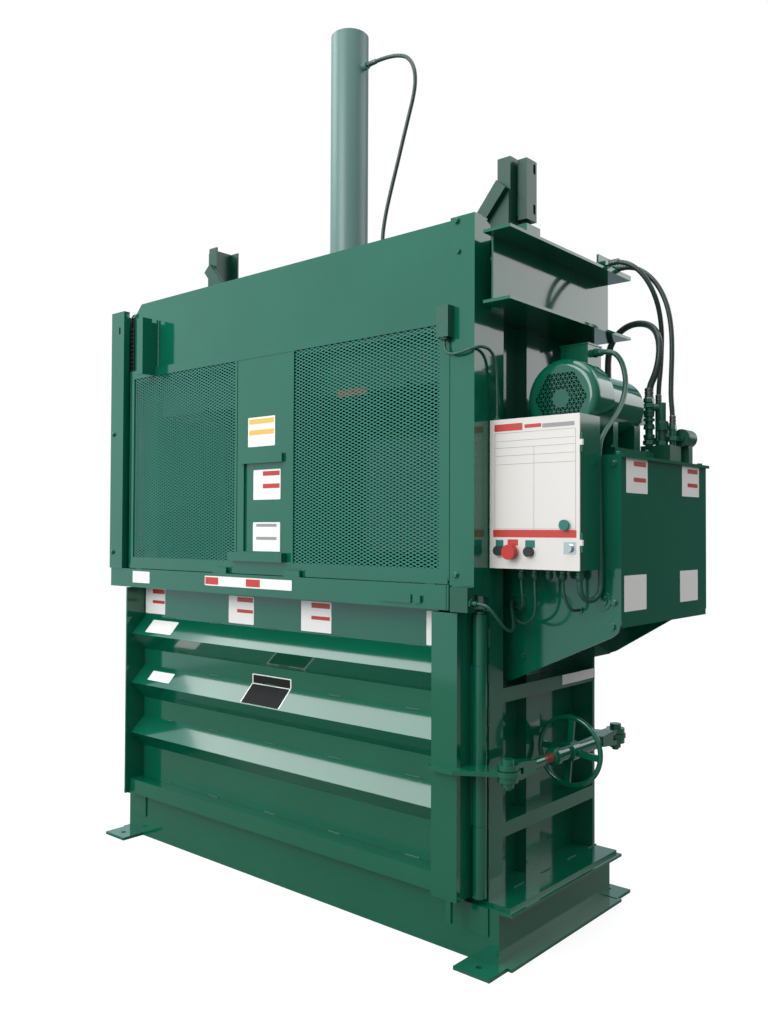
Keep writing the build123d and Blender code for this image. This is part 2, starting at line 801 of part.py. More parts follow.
def hinge_pins():
    pins = []
    for x in (door_hinge_x, latch_hinge_x):
        shaft = post(x, hinge_y, hinge_pin_radius, hinge_bottom, hinge_top + seam_gap)
        head = post(x, hinge_y, hinge_pin_radius + 4, hinge_top + seam_gap, hinge_top + seam_gap + hinge_head)
        pins.append(shaft + head)
    return pins


# Latch bar with its lever, hinged on the right corner
def latch_bar():
    x0, x1 = latch_left, latch_right
    y0, y1 = latch_back - latch_size, latch_back
    t = latch_wall
    outside = block(x0, x1, y0, y1, hinge_bottom, latch_top)
    inside = block(x0 + t, x1 - t, y0 + t, y1 - t, hinge_bottom - 1, latch_top + 1)
    tongue = block(x1 - 45, x1 - 25, y0 + 2, y0 + 14, hinge_bottom - 74, hinge_bottom + 20)
    z0, z1 = hinge_seams[0] + seam_gap, hinge_seams[1] - seam_gap
    knuckle = post(latch_hinge_x, hinge_y, hinge_tube_radius, z0, z1)
    leaf = block(x1 - 1, latch_hinge_x - 14, hinge_y - 14, y1, z0, z1)
    lever = lever_shape() - outside
    bore = post(latch_hinge_x, hinge_y, hinge_pin_radius + running_gap, hinge_bottom, hinge_top)
    return (outside - inside) + knuckle + leaf + lever + tongue - bore


def lever_shape():
    z0, z1 = lever_z - lever_plate / 2, lever_z + lever_plate / 2
    x, y, r = link_x, link_front_y, lever_end_radius
    outline = [(latch_left + 8, lever_front), (latch_right + 5, lever_front), (x - 8, y - r + 1), (x, y),
               (x - r * 0.8, y + r * 0.6), (latch_hinge_x + 30, hinge_y + 2), (latch_left + 8, hinge_y + 2)]
    plate = prism_z(outline, z0, z1) + post(x, y, r, z0, z1)
    return plate - post(x, y, link_pin_radius + link_play, z0 - 1, z1 + 1)


def yoke(pivot_y, toward):
    """A forged clevis: two round ears above and below a plate, and arms that meet in a shank."""
    near = lever_plate / 2 + ear_gap
    far = near + ear_plate
    x = link_x
    arm_start, arm_end = pivot_y + toward * 60, pivot_y + toward * 140
    body = None
    for side in (-1, 1):
        z0, z1 = sorted((lever_z + side * near, lever_z + side * far))
        ear = post(x, pivot_y, ear_radius, z0, z1)
        arm_y = sorted((pivot_y, arm_start))
        arm = block(x - 22, x + 22, *arm_y, z0, z1)
        ear += arm
        body = ear if body is None else body + ear
    cheek = [(lever_z - far, arm_start), (lever_z + far, arm_start), (lever_z + shank_radius, arm_end),
             (lever_z - shank_radius, arm_end)]
    web = make_face(Polyline(*[(x - 22, y, z) for z, y in cheek], close=True))
    return body + extrude(web, amount=44, dir=(1, 0, 0))


def yoke_pin(pivot_y):
    top = lever_z + lever_plate / 2 + ear_gap + ear_plate
    low = lever_z - lever_plate / 2 - ear_gap - ear_plate
    pin = post(link_x, pivot_y, link_pin_radius, low - 26, top)
    head = post(link_x, pivot_y, 21, top, top + 16)
    nut = post(link_x, pivot_y, 20, low - 18, low)
    return pin + head + nut


def front_yoke():
    shank_end = barrel_front - screw_shown
    body = yoke(link_front_y, 1) + bar_y(link_x, lever_z, shank_radius, link_front_y + 120, shank_end)
    body += bar_y(link_x, lever_z, screw_radius, shank_end - 1, barrel_front + 80)
    return body + yoke_pin(link_front_y)


def rear_yoke():
    body = yoke(link_back_y, -1)
    body += bar_y(link_x, lever_z, shank_radius, barrel_back + seam_gap, link_back_y - 120)
    body += bar_y(link_x, lever_z, screw_radius, barrel_back - 60, barrel_back + seam_gap + 1)
    hole = post(link_x, link_back_y, link_pin_radius + running_gap, lever_z - 60, lever_z + 60)
    return body - hole


def rear_lug():
    z0, z1 = lever_z - lever_plate / 2, lever_z + lever_plate / 2
    x, y = link_x, link_back_y
    outline = [(body_half_width, y - 36), (x, y - ear_radius - 4), (x, y + ear_radius + 4),
               (body_half_width, rear_post_y + rear_post_plate)]
    plate = prism_z(outline, z0, z1) + post(x, y, ear_radius + 4, z0, z1)
    return plate + yoke_pin(link_back_y)


def handwheel():
    barrel = bar_y(link_x, lever_z, barrel_radius, barrel_front, barrel_back)
    collar = bar_y(link_x, lever_z, barrel_radius + 6, barrel_front + 8, barrel_front + 28)
    hub = bar_y(link_x, lever_z, barrel_radius + 10, wheel_y - 22, wheel_y + 22)
    rim = Pos(link_x, wheel_y, lever_z) * Rot(90, 0, 0) * Torus(wheel_radius, wheel_rim_radius)
    body = barrel + collar + hub + rim
    for index in range(wheel_spokes):
        spoke = Box(spoke_wide, spoke_thick, wheel_radius - barrel_radius)
        spoke = Pos(0, 0, (barrel_radius + wheel_radius) / 2) * spoke
        body += Pos(link_x, wheel_y, lever_z) * Rot(0, wheel_lean + 360 * index / wheel_spokes, 0) * spoke
    return body - bar_y(link_x, lever_z, screw_radius + running_gap, barrel_front - 1, barrel_back + 1)


# Ram cylinder, rod, platen and platen guides
def cylinder():
    r, wall = cylinder_radius, cylinder_wall
    tube = post(0, 0, r, cylinder_bottom, total_height)
    tube -= post(0, 0, r - wall, cylinder_bottom + gland_height, total_height - 25)
    tube -= post(0, 0, rod_radius + running_gap, cylinder_bottom - 1, cylinder_bottom + gland_height + 1)
    flange_low = mount_top
    flange = post(0, 0, r + 55, flange_low, flange_low + 28)
    flange -= post(0, 0, r - 1, flange_low - 1, flange_low + 30)
    port = bar_x(0, port_z, 17, r - 2, r + 22)
    low_port = bar_x(0, low_port_z, 17, r - 2, r + 22)
    return chamfer(tube.edges().group_by(Axis.Z)[-1], 4) + flange + port + low_port


def ram_rod():
    top = total_height - 25 - 15
    low = platen_bottom + platen_height
    rod = post(0, 0, rod_radius, low, top)
    piston = post(0, 0, cylinder_radius - cylinder_wall - running_gap, top - piston_height, top)
    foot = post(0, 0, 95, low - 20, low + 8)
    return rod + piston + foot


def platen():
    w, y0, y1 = platen_half_width, platen_front, platen_back
    z0, z1 = platen_bottom, platen_bottom + platen_height
    t = platen_plate
    body = block(-w, w, y0, y1, z0, z1) - block(-w + t, w - t, y0 + t, y1 - t, z0 + 2 * t, z1 + 1)
    for x in (-560, -280, 0, 280, 560):
        body += block(x - t / 2, x + t / 2, y0 + t, y1 - t, z0 + t, z1 - 22)
    body += block(-w + t, w - t, -t / 2, t / 2, z0 + t, z1 - 22)
    body += block(-110, 110, -110, 110, z1 - 40, z1 - 20.0)
    for index in range(platen_slots):
        x = (index - (platen_slots - 1) / 2) * 2 * w / (platen_slots + 1) + 20
        body -= block(x, x + platen_slot_width, y0 - 1, y1 + 1, z0 - 1, z0 + t)
    return body


def platen_guides():
    """On each side a braced channel on the platen, and two shoes that run in the frame's channel."""
    low, out = platen_bottom + platen_height, wall_outer_x - wall_plate - guide_gap
    inner, d, t = out - guide_flange, guide_half_depth, guide_plate
    body = block(out - t, out, -d, d, low, guide_top)
    for y in (-d, d - t):
        body += block(inner, out, y, y + t, low, guide_top)
    body += block(inner - 30, out, -d - 24, d + 24, low, low + 12)
    rise = brace_top - low
    foot = out - 2 - rise * 0.87
    cut = brace_wide * 0.75
    head = out - 2
    brace = [(head, brace_top), (head - cut, brace_top + cut * 0.87), (foot - brace_wide, low), (foot, low)]
    body += prism_y(brace, brace_front, -d)
    gusset = [(head, brace_top), (head, gusset_low), (head - (brace_top - gusset_low) * 0.87, gusset_low)]
    body += prism_y(gusset, -d - t, -d)
    shoe_in, shoe_out = wall_outer_x - 2, channel_outer_x - channel_wall - shoe_gap
    slot = channel_half_depth - channel_wall - slot_gap
    for z0, z1 in ((shoe_low, guide_top - 7), (low - 200, low - 10)):
        body += block(shoe_in, shoe_out, -slot, slot, z0, z1)
        body += block(platen_half_width, shoe_in + 1, -slot + 12, slot - 12, z0 + 20, z1 - 20)
    body += block(platen_half_width, out + 3, -slot + 12, slot - 12, low - 180, low + 60)
    x0, x1, y, r = shoe_out - 16, shoe_out + 1, shoe_slot_y, slot_radius + 2
    for z in shoe_slots:
        body -= bar_x(y, z - slot_half, r, x0, x1)
        body -= bar_x(y, z + slot_half, r, x0, x1)
        body -= block(x0, x1, y - r, y + r, z - slot_half, z + slot_half)
    return both_sides(body)


# Power unit on the right side
def power_shelf():
    t, side = shelf_plate, body_half_width
    x0, x1 = wall_outer_x, shelf_outer_x
    foot = rib_heights[1] + rib_tall + 1
    outline = [(x0, foot), (side - 5, 895), (side + 365, 1068), (x1 - 12, 1085), (x1, 1121)]
    outline += [(x1, tank_top), (x0, tank_top)]
    front = prism_y(outline, shelf_front, shelf_front + t)
    front -= bar_y(grommet_x, grommet_z, grommet_radius - 5, shelf_front - 1, shelf_front + t + 1)
    grommet = bar_y(grommet_x, grommet_z, grommet_radius, shelf_front - 6, shelf_front)
    grommet += bar_y(grommet_x, grommet_z, grommet_radius - 5, shelf_front - 1, shelf_front + t)
    grommet -= bar_y(grommet_x, grommet_z, grommet_bore, shelf_front - 7, shelf_front + 2)
    fittings = bar_y(side + gusset_gland[0], gusset_gland[1], gland_radius, shelf_front - 6, shelf_front)
    for x, z in gusset_bolts:
        fittings += bar_y(side + x, z, gusset_bolt_radius, shelf_front - 8, shelf_front)
    x, z = side + gusset_port[0], gusset_port[1]
    fittings += bar_y(x, z, gusset_port_radius, shelf_front - 4, shelf_front)
    fittings += bar_y(x, z, gusset_port_radius * 0.6, shelf_front - 9, shelf_front - 4)
    x2 = rear_gusset_left
    heel, heel_z = side + rear_gusset_low[0], rear_gusset_low[1]
    x3 = side + rear_gusset_outer
    toe = rear_gusset_foot
    rear_outline = [(x2, toe), (x2 + 32, toe + 12), (heel, heel_z), (x3, heel_z)]
    rear_outline += [(x3, tank_top), (x2, tank_top)]
    rear = prism_y(rear_outline, tank_back, tank_back + t)
    strip = block(x2, x2 + t, rear_post_y, tank_back, toe, tank_top)
    y0, y1, low = shelf_front + t, tank_back, tank_bottom - rail_tall
    outer_rail = block(x1 - 4 - rail_wide, x1 - 4, y0, y1, low, tank_bottom)
    inner_rail = block(tank_left, tank_left + rail_wide, y0, y1, low, tank_bottom)
    return front + grommet + fittings + outer_rail + inner_rail + rear + strip


def tank():
    y0, y1 = shelf_front + shelf_plate, tank_back
    x0, x1 = tank_left, shelf_outer_x - 4
    return block(x0, x1, y0, y1, tank_bottom, tank_top)


def tank_lid():
    y0, y1 = shelf_front, tank_back + lid_overhang
    x0, x1 = body_half_width + 2, shelf_outer_x + lid_overhang
    lid = block(x0, x1, y0, y1, tank_top, lid_top)
    return lid + post(*return_port, fitting_radius + 2, lid_top, lid_top + return_port_height)


def motor_body():
    y0, y1, x = motor_front, motor_back, motor_x
    barrel = bar_y(x, motor_z, motor_radius, y0, y1)
    barrel = chamfer(barrel.edges().filter_by(GeomType.CIRCLE).group_by(Axis.Y)[-1], 12)
    body = barrel + bar_y(x, motor_z, fan_cover_radius, y0, y0 + motor_flange)
    body += block(x - 105, x + 105, -20, 210, lid_top, lid_top + 12)
    for y in (0, 160):
        body += block(x - 90, x + 90, y, y + 35, lid_top + 12, motor_z - 66)
    for side in (-1, 1):
        rail_x = x + side * 92
        body += block(rail_x - 20, rail_x + 20, -30, 275, lid_top, lid_top + 40)
    left, right, box_front_y, box_back_y, z0, z1 = terminal_box
    body += block(x + left, x + right, box_front_y, box_back_y, z0, z1)
    body += block(x + left - 3, x + right + 3, box_front_y - 3, box_back_y + 3, z1, z1 + 5)
    left, neck_right, neck_front, neck_back = terminal_neck
    body += block(x + left, x + neck_right, neck_front, neck_back, motor_z + 60, z0 + 1)
    nut_y, nut_z = conduit_nut
    body += bar_x(nut_y, nut_z, conduit_nut_radius, x + right, x + right + conduit_nut_length)
    return body - bar_y(x, motor_z, motor_shaft_radius + running_gap, y0 - 1, y1 + 1)


def fan_cover():
    r, t = fan_cover_radius, fan_cover_sheet
    y0, y1 = fan_cover_front, motor_front
    shell = bar_y(motor_x, motor_z, r, y0, y1)
    shell = fillet(shell.edges().filter_by(GeomType.CIRCLE).group_by(Axis.Y)[0], 26)
    shell -= bar_y(motor_x, motor_z, r - t, y0 + 30, y1 + 1)
    shell -= bar_y(motor_x, motor_z, r - 30, y0 + t, y1 + 1)
    return shell - Compound(children=grille_holes(y0 - 1, y0 + t + 20))


def grille_holes(y0, y1):
    """Six wedges of triangular holes that together fill a hexagon round a solid middle."""
    holes = []
    side = grille_radius / grille_rows
    tall = side * math.sqrt(3) / 2
    for wedge in range(6):
        for row in range(grille_solid_rows, grille_rows):
            for index in range(2 * row + 1):
                middle = (index - row) * side / 2
                base, tip = row * tall, (row + 1) * tall
                low, high = (base, tip) if index % 2 == 0 else (tip, base)
                centre = (2 * high + low) / 3
                reach = side / 2 * grille_open
                flat, point = centre + (high - centre) * grille_open, centre + (low - centre) * grille_open
                shape = [(middle - reach, flat), (middle + reach, flat), (middle, point)]
                hole = Rot(0, 60 * wedge, 0) * prism_y(shape, y0, y1)
                holes.append(Pos(motor_x, 0, motor_z) * hole)
    return holes


def motor_fan():
    shaft = bar_y(motor_x, motor_z, motor_shaft_radius, motor_front - 70, motor_back)
    hub = bar_y(motor_x, motor_z, 30, motor_front - 60, motor_front - 20)
    body = shaft + hub
    for index in range(6):
        blade = Pos(0, 0, 60) * Box(4, 40, 70)
        body += Pos(motor_x, motor_front - 40, motor_z) * Rot(0, 60 * index, 0) * blade
    return body


def pump():
    y0 = motor_back + 0.5
    y1 = y0 + pump_neck
    body = bar_y(motor_x, motor_z, pump_radius, y0, y1)
    body += block(motor_x - 38, motor_x + 38, y1 - 1, y1 + pump_length, motor_z - 38, motor_z + 38)
    leg = block(motor_x - 30, motor_x + 30, y1 + 10, y1 + 22, lid_top, motor_z - 30)
    return body + leg


def valve_block():
    x, y = stack_place
    ux, uy = union_place
    low = lid_top + manifold_tall
    left = body_half_width + 224
    body = block(left, left + 114, 306, 402, lid_top, low)
    body += post(x, y, 14, low - 1, stack_top)
    for z in (1745, 1785, 1830):
        body += post(x, y, 19, z, z + 16)
    body += post(ux, uy, 15, low - 1, 1880)
    body += post(ux, uy, 23, 1778, 1804)
    body += rod((x, y, 1864), (ux, uy, 1864), 13)
    for fx, fy, top in fitting_places:
        body += post(fx, fy, fitting_radius, low - 1, top)
    return body


def return_filter():
    y0, y1 = 408, 480
    cartridge = bar_y(filter_x, filter_z, filter_radius, y0, y1)
    cartridge += bar_y(filter_x, filter_z, 14, y0 - 8, y0 + 1)
    return cartridge + block(filter_x - 18, filter_x + 18, y0 + 30, y1 - 8, lid_top, filter_z - 25)


# Control box
def control_box():
    t = box_sheet
    outside = block(box_left, box_right, box_front, box_back, box_bottom, box_top)
    inside = block(box_left + t, box_right - t, box_front - 1, box_back - t, box_bottom + t, box_top - t)
    body = outside - inside
    for x in (box_left + 14, box_left + 224):
        body += block(x, x + 30, box_back, shelf_front, box_bottom + 20, tank_top - 5)
    for x, y in gland_places:
        body += post(box_left + x, y, gland_radius, box_bottom - gland_drop, box_bottom)
    x, y = top_gland
    body += post(box_left + x, y, switch_gland_radius, box_top, box_top + top_gland_height)
    reach, y = box_hinge
    x, r = box_right + reach, box_hinge_radius
    for low, high in box_hinge_spans:
        for z0, z1 in ((low, low + 20), (high - 20, high)):
            body += post(x, y, r, z0, z1) + block(box_right - t, x, y + 1, y + 4, z0, z1)
        body += post(x, y, r / 2, low, high)
    return body


def control_door():
    y1 = box_front - 0.3
    plate = block(box_left, box_right, y1 - box_door, y1, box_bottom, box_top)
    for x, z, radius in knob_places:
        plate -= bar_y(box_left + x, z, radius + running_gap * 10, y1 - box_door - 1, y1 + 1)
    reach, y = box_hinge
    x, r = box_right + reach, box_hinge_radius
    for low, high in box_hinge_spans:
        z0, z1 = low + 21, high - 21
        plate += block(box_right - 1, x, y1 - box_door, y1, z0, z1) + post(x, y, r, z0, z1)
        plate -= post(x, y, r / 2 + running_gap, z0 - 1, z1 + 1)
    return plate


def knob(place, radius, reach, travel):
    """A stem through the door and a round head that stands off it by more than its travel."""
    x, z, stem = place
    face = box_front - 0.3 - box_door
    stem_bar = bar_y(box_left + x, z, stem, face - travel - 1, face + 20)
    return stem_bar + bar_y(box_left + x, z, radius, face - reach, face - travel - 0.5)


# Limit switches and the hose bracket
def limit_switches():
    side = body_half_width
    x0, x1, y0, z0, z1 = gate_switch_box
    x, y = gate_switch_gland
    gate = block(side + x0, side + x1, y0, column_front, z0, z1)
    gate += post(side + x, y, switch_gland_radius, z0 - 11, z0)
    x0, x1, y0, z0, z1 = door_switch_box
    y, z = door_switch_gland
    door = block(side + x0, side + x1, y0, column_front, z0, z1)
    return [gate, door + bar_x(y, z, switch_gland_radius, side + x1, side + x1 + 25)]


def hose_bracket():
    """An angle on the side beam with two bulkhead fittings that go through its upright plate."""
    x, side = side_beam_web_x, body_half_width
    top = side_beam_top
    base = block(x + 20, x + side_beam_half_flange, 215, side_beam_back, top, top + 8)
    plate = block(x + 42, x + 50, 225, side_beam_back, top, top + 66)
    body = base + plate
    for y, z in bulkheads:
        body += bar_x(y, z, bulkhead_radius, side + bulkhead_end - 70, side + bulkhead_end)
    return body


os.makedirs("parts", exist_ok=True)
panel, handle, lip = gate_panel()
save("base_frame", base_frame())
save("chamber_floor", chamber_floor())
save("corner_posts", corner_posts())
save("wall_sheets", wall_sheets())
save("guide_channels", guide_channels())
save("side_ribs", side_ribs())
save("top_beams", top_beams())
save("head_beams", head_beams())
save("upper_cover", upper_cover())
save("right_column", right_column())
save("gate_post", gate_post())
save("sprocket_top", sprocket(sprocket_high))
save("sprocket_bottom", sprocket(sprocket_low))
save("gate_chain", gate_chain())
save("counterweight", counterweight())
save("gate_frame", gate_frame())
save("gate_mesh", gate_mesh())
save("gate_panel", [panel, handle, lip])
save("sill", sill())
save("door_panel", door_panel())
save("door_ribs", door_ribs())
save("hinge_tubes", hinge_tubes())
save("hinge_pins", hinge_pins())
save("latch_bar", latch_bar())
save("rear_lug", rear_lug())
save("rear_yoke", rear_yoke())
save("handwheel", handwheel())
save("front_yoke", front_yoke())
save("cylinder", cylinder())
save("ram_rod", ram_rod())
save("platen", platen())
save("platen_guides", platen_guides())
save("power_shelf", power_shelf())
save("tank", tank())
save("tank_lid", tank_lid())
save("motor_body", motor_body())
save("fan_cover", fan_cover())
save("motor_fan", motor_fan())
save("pump", pump())
save("valve_block", valve_block())
save("return_filter", return_filter())
save("control_box", control_box())
save("control_door", control_door())
save("start_knob", knob(knob_places[0], 16, 16, travel=0))
save("stop_button", knob(knob_places[1], 24, 30, travel=stop_travel))
save("mode_knob", knob(knob_places[2], 16, 16, travel=0))
save("round_button", knob(knob_places[3], 17, 12, travel=push_travel))
save("key_switch", knob(knob_places[4], 13, 10, travel=0))
save("limit_switches", limit_switches())
save("hose_bracket", hose_bracket())
save_cord("cylinder_hose", cylinder_hose_route, cylinder_hose_radius, side=0)
save_cord("pressure_hose_1", pressure_hose_1_route, pressure_hose_radius)
save_cord("pressure_hose_2", pressure_hose_2_route, pressure_hose_radius)
save_cord("return_hose", return_hose_route, return_hose_radius)
save_cord("motor_conduit", motor_conduit_route, conduit_radius)
save_cord("gate_switch_cable", gate_switch_cable_route, cable_radius)
save_cord("door_switch_cable", door_switch_cable_route, cable_radius)
save_cord("control_cable_1", control_cable_1_route, cable_radius)
save_cord("control_cable_2", control_cable_2_route, cable_radius)
save_cord("control_cable_3", control_cable_3_route, cable_radius)
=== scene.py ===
# %% [markdown]
# # A vertical recycling baler
# The real machine is a welded steel press for cardboard: a door and a lift gate in front, a long
# cylinder on top and a power unit on the right. Its rigid pieces come from the CAD model, which is
# loaded here as the frame. Blender adds what a photograph of it shows on top of that: paint, hoses,
# expanded metal, weld beads and cards. The frame's units are metres, with +X to the right seen from
# the front, +Y to the back and +Z up.

# %% Load the CAD frame
import math
import bpy
from mathutils import Matrix, Vector


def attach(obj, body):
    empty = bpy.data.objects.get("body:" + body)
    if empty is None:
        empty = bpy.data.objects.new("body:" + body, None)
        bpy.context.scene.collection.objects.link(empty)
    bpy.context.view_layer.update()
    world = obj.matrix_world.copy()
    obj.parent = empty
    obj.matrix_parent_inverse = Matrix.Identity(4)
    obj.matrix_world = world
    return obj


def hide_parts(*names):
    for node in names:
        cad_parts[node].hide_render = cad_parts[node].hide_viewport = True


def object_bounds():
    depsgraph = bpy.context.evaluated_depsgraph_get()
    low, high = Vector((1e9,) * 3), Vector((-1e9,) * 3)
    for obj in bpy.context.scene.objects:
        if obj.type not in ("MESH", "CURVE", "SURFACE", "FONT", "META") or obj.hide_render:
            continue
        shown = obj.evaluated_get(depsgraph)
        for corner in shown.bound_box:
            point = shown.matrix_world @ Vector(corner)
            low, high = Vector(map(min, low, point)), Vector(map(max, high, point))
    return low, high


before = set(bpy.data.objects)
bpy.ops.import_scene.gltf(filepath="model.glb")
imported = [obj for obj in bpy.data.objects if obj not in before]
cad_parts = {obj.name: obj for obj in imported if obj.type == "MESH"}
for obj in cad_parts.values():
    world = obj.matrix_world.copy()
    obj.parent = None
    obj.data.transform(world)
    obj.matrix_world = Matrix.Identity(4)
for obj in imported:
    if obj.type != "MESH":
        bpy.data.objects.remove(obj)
cad_low, cad_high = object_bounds()
print("CAD box", [round(v, 3) for v in cad_low], [round(v, 3) for v in cad_high])

# %% [markdown]
# ## Camera
# The machine was photographed from its right front corner, at about the height of the gate's
# handle. The camera stands 3.96 m from the machine's middle, turned 41 degrees, and keeps almost
# level so that posts stay upright. A lens in millimetres on a 36 mm sensor gives the same view at
# every picture size.

# %% Camera
camera_place = (2.708, -2.885, 1.405)
camera_turn = math.radians(40.93)
camera_rise = math.radians(1.15)
camera_roll = math.radians(0.24)
camera_data = bpy.data.cameras.new("camera")
camera_data.lens = 32.43
camera_data.sensor_width = 36
camera = bpy.data.objects.new("camera", camera_data)
bpy.context.scene.collection.objects.link(camera)
look = Matrix.Rotation(camera_turn, 4, "Z") @ Matrix.Rotation(math.pi / 2 + camera_rise, 4, "X")
camera.matrix_world = Matrix.Translation(camera_place) @ look @ Matrix.Rotation(camera_roll, 4, "Z")
bpy.context.scene.camera = camera
print("camera at", camera_place)

# %% [markdown]
# ## Floor and light
# The machine stands on a pale studio floor under broad soft light, so that its gloss shows long
# soft reflections and no hard shadow. Four square panels stand in front, at the left, above and
# behind the right side. The world fills the rest: bright at the front left and above, dim at the
# back right, so that the faces on the right side stay deep green. The camera itself sees the world
# as plain white, while glossy paint mirrors the dimmer one with a cool tint.

# %% The floor
floor_size, floor_gap = 10, 0.0005
bpy.ops.object.select_all(action="DESELECT")
bpy.ops.mesh.primitive_plane_add(size=floor_size, location=(0, 0, -floor_gap))
floor = bpy.context.object
floor.name = "studio_floor"
print("floor", floor_size, "m wide")

# %% Helpers for nodes that calculate and tell rays apart


def calculate(tree, operation, *values):
    """A math node whose inputs are sockets or numbers. Gives its output socket."""
    node = tree.nodes.new("ShaderNodeMath")
    node.operation = operation
    for socket, value in zip(node.inputs, values):
        if isinstance(value, bpy.types.NodeSocket):
            tree.links.new(value, socket)
        else:
            socket.default_value = value
    return node.outputs["Value"]


def seen_share(tree, ray, glossy_share):
    """1 for camera and transmission rays, a small share for glossy rays and 0 for all others."""
    mirrored = calculate(tree, "MULTIPLY_ADD", ray["Is Glossy Ray"], glossy_share,
                         ray["Is Transmission Ray"])
    return calculate(tree, "MAXIMUM", ray["Is Camera Ray"], mirrored)


# %% The world
bright_direction = (-0.62, -0.48, 0.62)
facing_range, level_range = (-0.75, 0.85), (0.02, 1.25)
mirrored_share = 0.1
white, cool_white = (1, 1, 1, 1), (0.72, 0.93, 1.0, 1)
world = bpy.data.worlds.new("studio")
world.use_nodes = True
world_tree = world.node_tree
sky = world_tree.nodes["Background"]
compass = world_tree.nodes.new("ShaderNodeTexCoord")
bright_side = world_tree.nodes.new("ShaderNodeVectorMath")
bright_side.operation = "DOT_PRODUCT"
bright_side.inputs[1].default_value = bright_direction
world_tree.links.new(compass.outputs["Generated"], bright_side.inputs[0])
level = world_tree.nodes.new("ShaderNodeMapRange")
level.inputs["From Min"].default_value, level.inputs["From Max"].default_value = facing_range
level.inputs["To Min"].default_value, level.inputs["To Max"].default_value = level_range
world_tree.links.new(bright_side.outputs["Value"], level.inputs["Value"])
world_ray = world_tree.nodes.new("ShaderNodeLightPath").outputs
world_seen = seen_share(world_tree, world_ray, mirrored_share)
strength = calculate(world_tree, "MAXIMUM", world_seen, level.outputs["Result"])
world_tree.links.new(strength, sky.inputs["Strength"])
tint = world_tree.nodes.new("ShaderNodeMix")
tint.data_type = "RGBA"
tint.inputs["A"].default_value = white
tint.inputs["B"].default_value = cool_white
world_tree.links.new(world_ray["Is Glossy Ray"], tint.inputs["Factor"])
world_tree.links.new(tint.outputs["Result"], sky.inputs["Color"])
bpy.context.scene.world = world
bpy.context.scene.view_settings.view_transform = "Standard"
print("world levels", level_range)

# %% The light panels


def light_panel(name, place, aim, size, watts):
    """A square soft light that faces a point."""
    data = bpy.data.lights.new(name, "AREA")
    data.shape = "SQUARE"
    data.size = size
    data.energy = watts
    panel = bpy.data.objects.new(name, data)
    panel.location = place
    panel.rotation_euler = (Vector(aim) - Vector(place)).to_track_quat("-Z", "Y").to_euler()
    bpy.context.scene.collection.objects.link(panel)


middle = (cad_low + cad_high) / 2
light_panels = (
    ("front_light", (-0.3, -7.0, 4.6), 4.0, 290),
    ("left_light", (-4.7, -2.8, 6.5), 3.6, 150),
    ("top_light", (1.5, -1.0, 7.5), 4.0, 170),
    ("right_light", (4.4, 4.6, 4.8), 5.0, 170))
for name, place, size, watts in light_panels:
    light_panel(name, place, middle, size, watts)
print("light panels", len(light_panels))

# %% [markdown]
# ## Paint and other finishes
# A finish is a node tree on one shader: one noise texture drives a small change of colour and of
# gloss, and a fine one the bump that sprayed paint has. Object coordinates keep the pattern fixed
# to the piece.

# %% A helper that mixes a finish


def mix_finish(name, colour, shade, gloss, metal=0.0, size=3.0, grain=220.0, bump=0.02, coat=0.0):
    """A material whose colour and roughness drift between two tones and two values."""
    finish = bpy.data.materials.new(name)
    finish.use_nodes = True
    nodes = finish.node_tree.nodes
    links = finish.node_tree.links
    shader = nodes["Principled BSDF"]
    shader.inputs["Metallic"].default_value = metal
    shader.inputs["Coat Weight"].default_value = coat
    shader.inputs["Coat Roughness"].default_value = 0.05
    places = nodes.new("ShaderNodeTexCoord")
    drift = nodes.new("ShaderNodeTexNoise")
    drift.inputs["Scale"].default_value = size
    drift.inputs["Detail"].default_value = 4
    links.new(places.outputs["Object"], drift.inputs["Vector"])
    tones = nodes.new("ShaderNodeMix")
    tones.data_type = "RGBA"
    tones.inputs["A"].default_value = (*colour, 1)
    tones.inputs["B"].default_value = (*shade, 1)
    links.new(drift.outputs["Fac"], tones.inputs["Factor"])
    links.new(tones.outputs["Result"], shader.inputs["Base Color"])
    roughness = nodes.new("ShaderNodeMapRange")
    roughness.inputs["To Min"].default_value = gloss[0]
    roughness.inputs["To Max"].default_value = gloss[1]
    links.new(drift.outputs["Fac"], roughness.inputs["Value"])
    links.new(roughness.outputs["Result"], shader.inputs["Roughness"])
    skin = nodes.new("ShaderNodeTexNoise")
    skin.inputs["Scale"].default_value = grain
    links.new(places.outputs["Object"], skin.inputs["Vector"])
    dimples = nodes.new("ShaderNodeBump")
    dimples.inputs["Strength"].default_value = bump
    dimples.inputs["Distance"].default_value = 0.001
    links.new(skin.outputs["Fac"], dimples.inputs["Height"])
    links.new(dimples.outputs["Normal"], shader.inputs["Normal"])
    return finish


# %% Paints and welds
green_enamel = mix_finish(
    "green_enamel", (0.002, 0.112, 0.060), (0.001, 0.080, 0.043), (0.06, 0.14), coat=0.35)
# The screens' enamel is the body's green made lighter. This is painted light, for the light that
# the tilted strands of real expanded metal catch from above.
screen_enamel_painted_light = mix_finish(
    "screen_enamel_painted_light", (0.016, 0.185, 0.125), (0.010, 0.150, 0.100), (0.10, 0.20), coat=0.35)
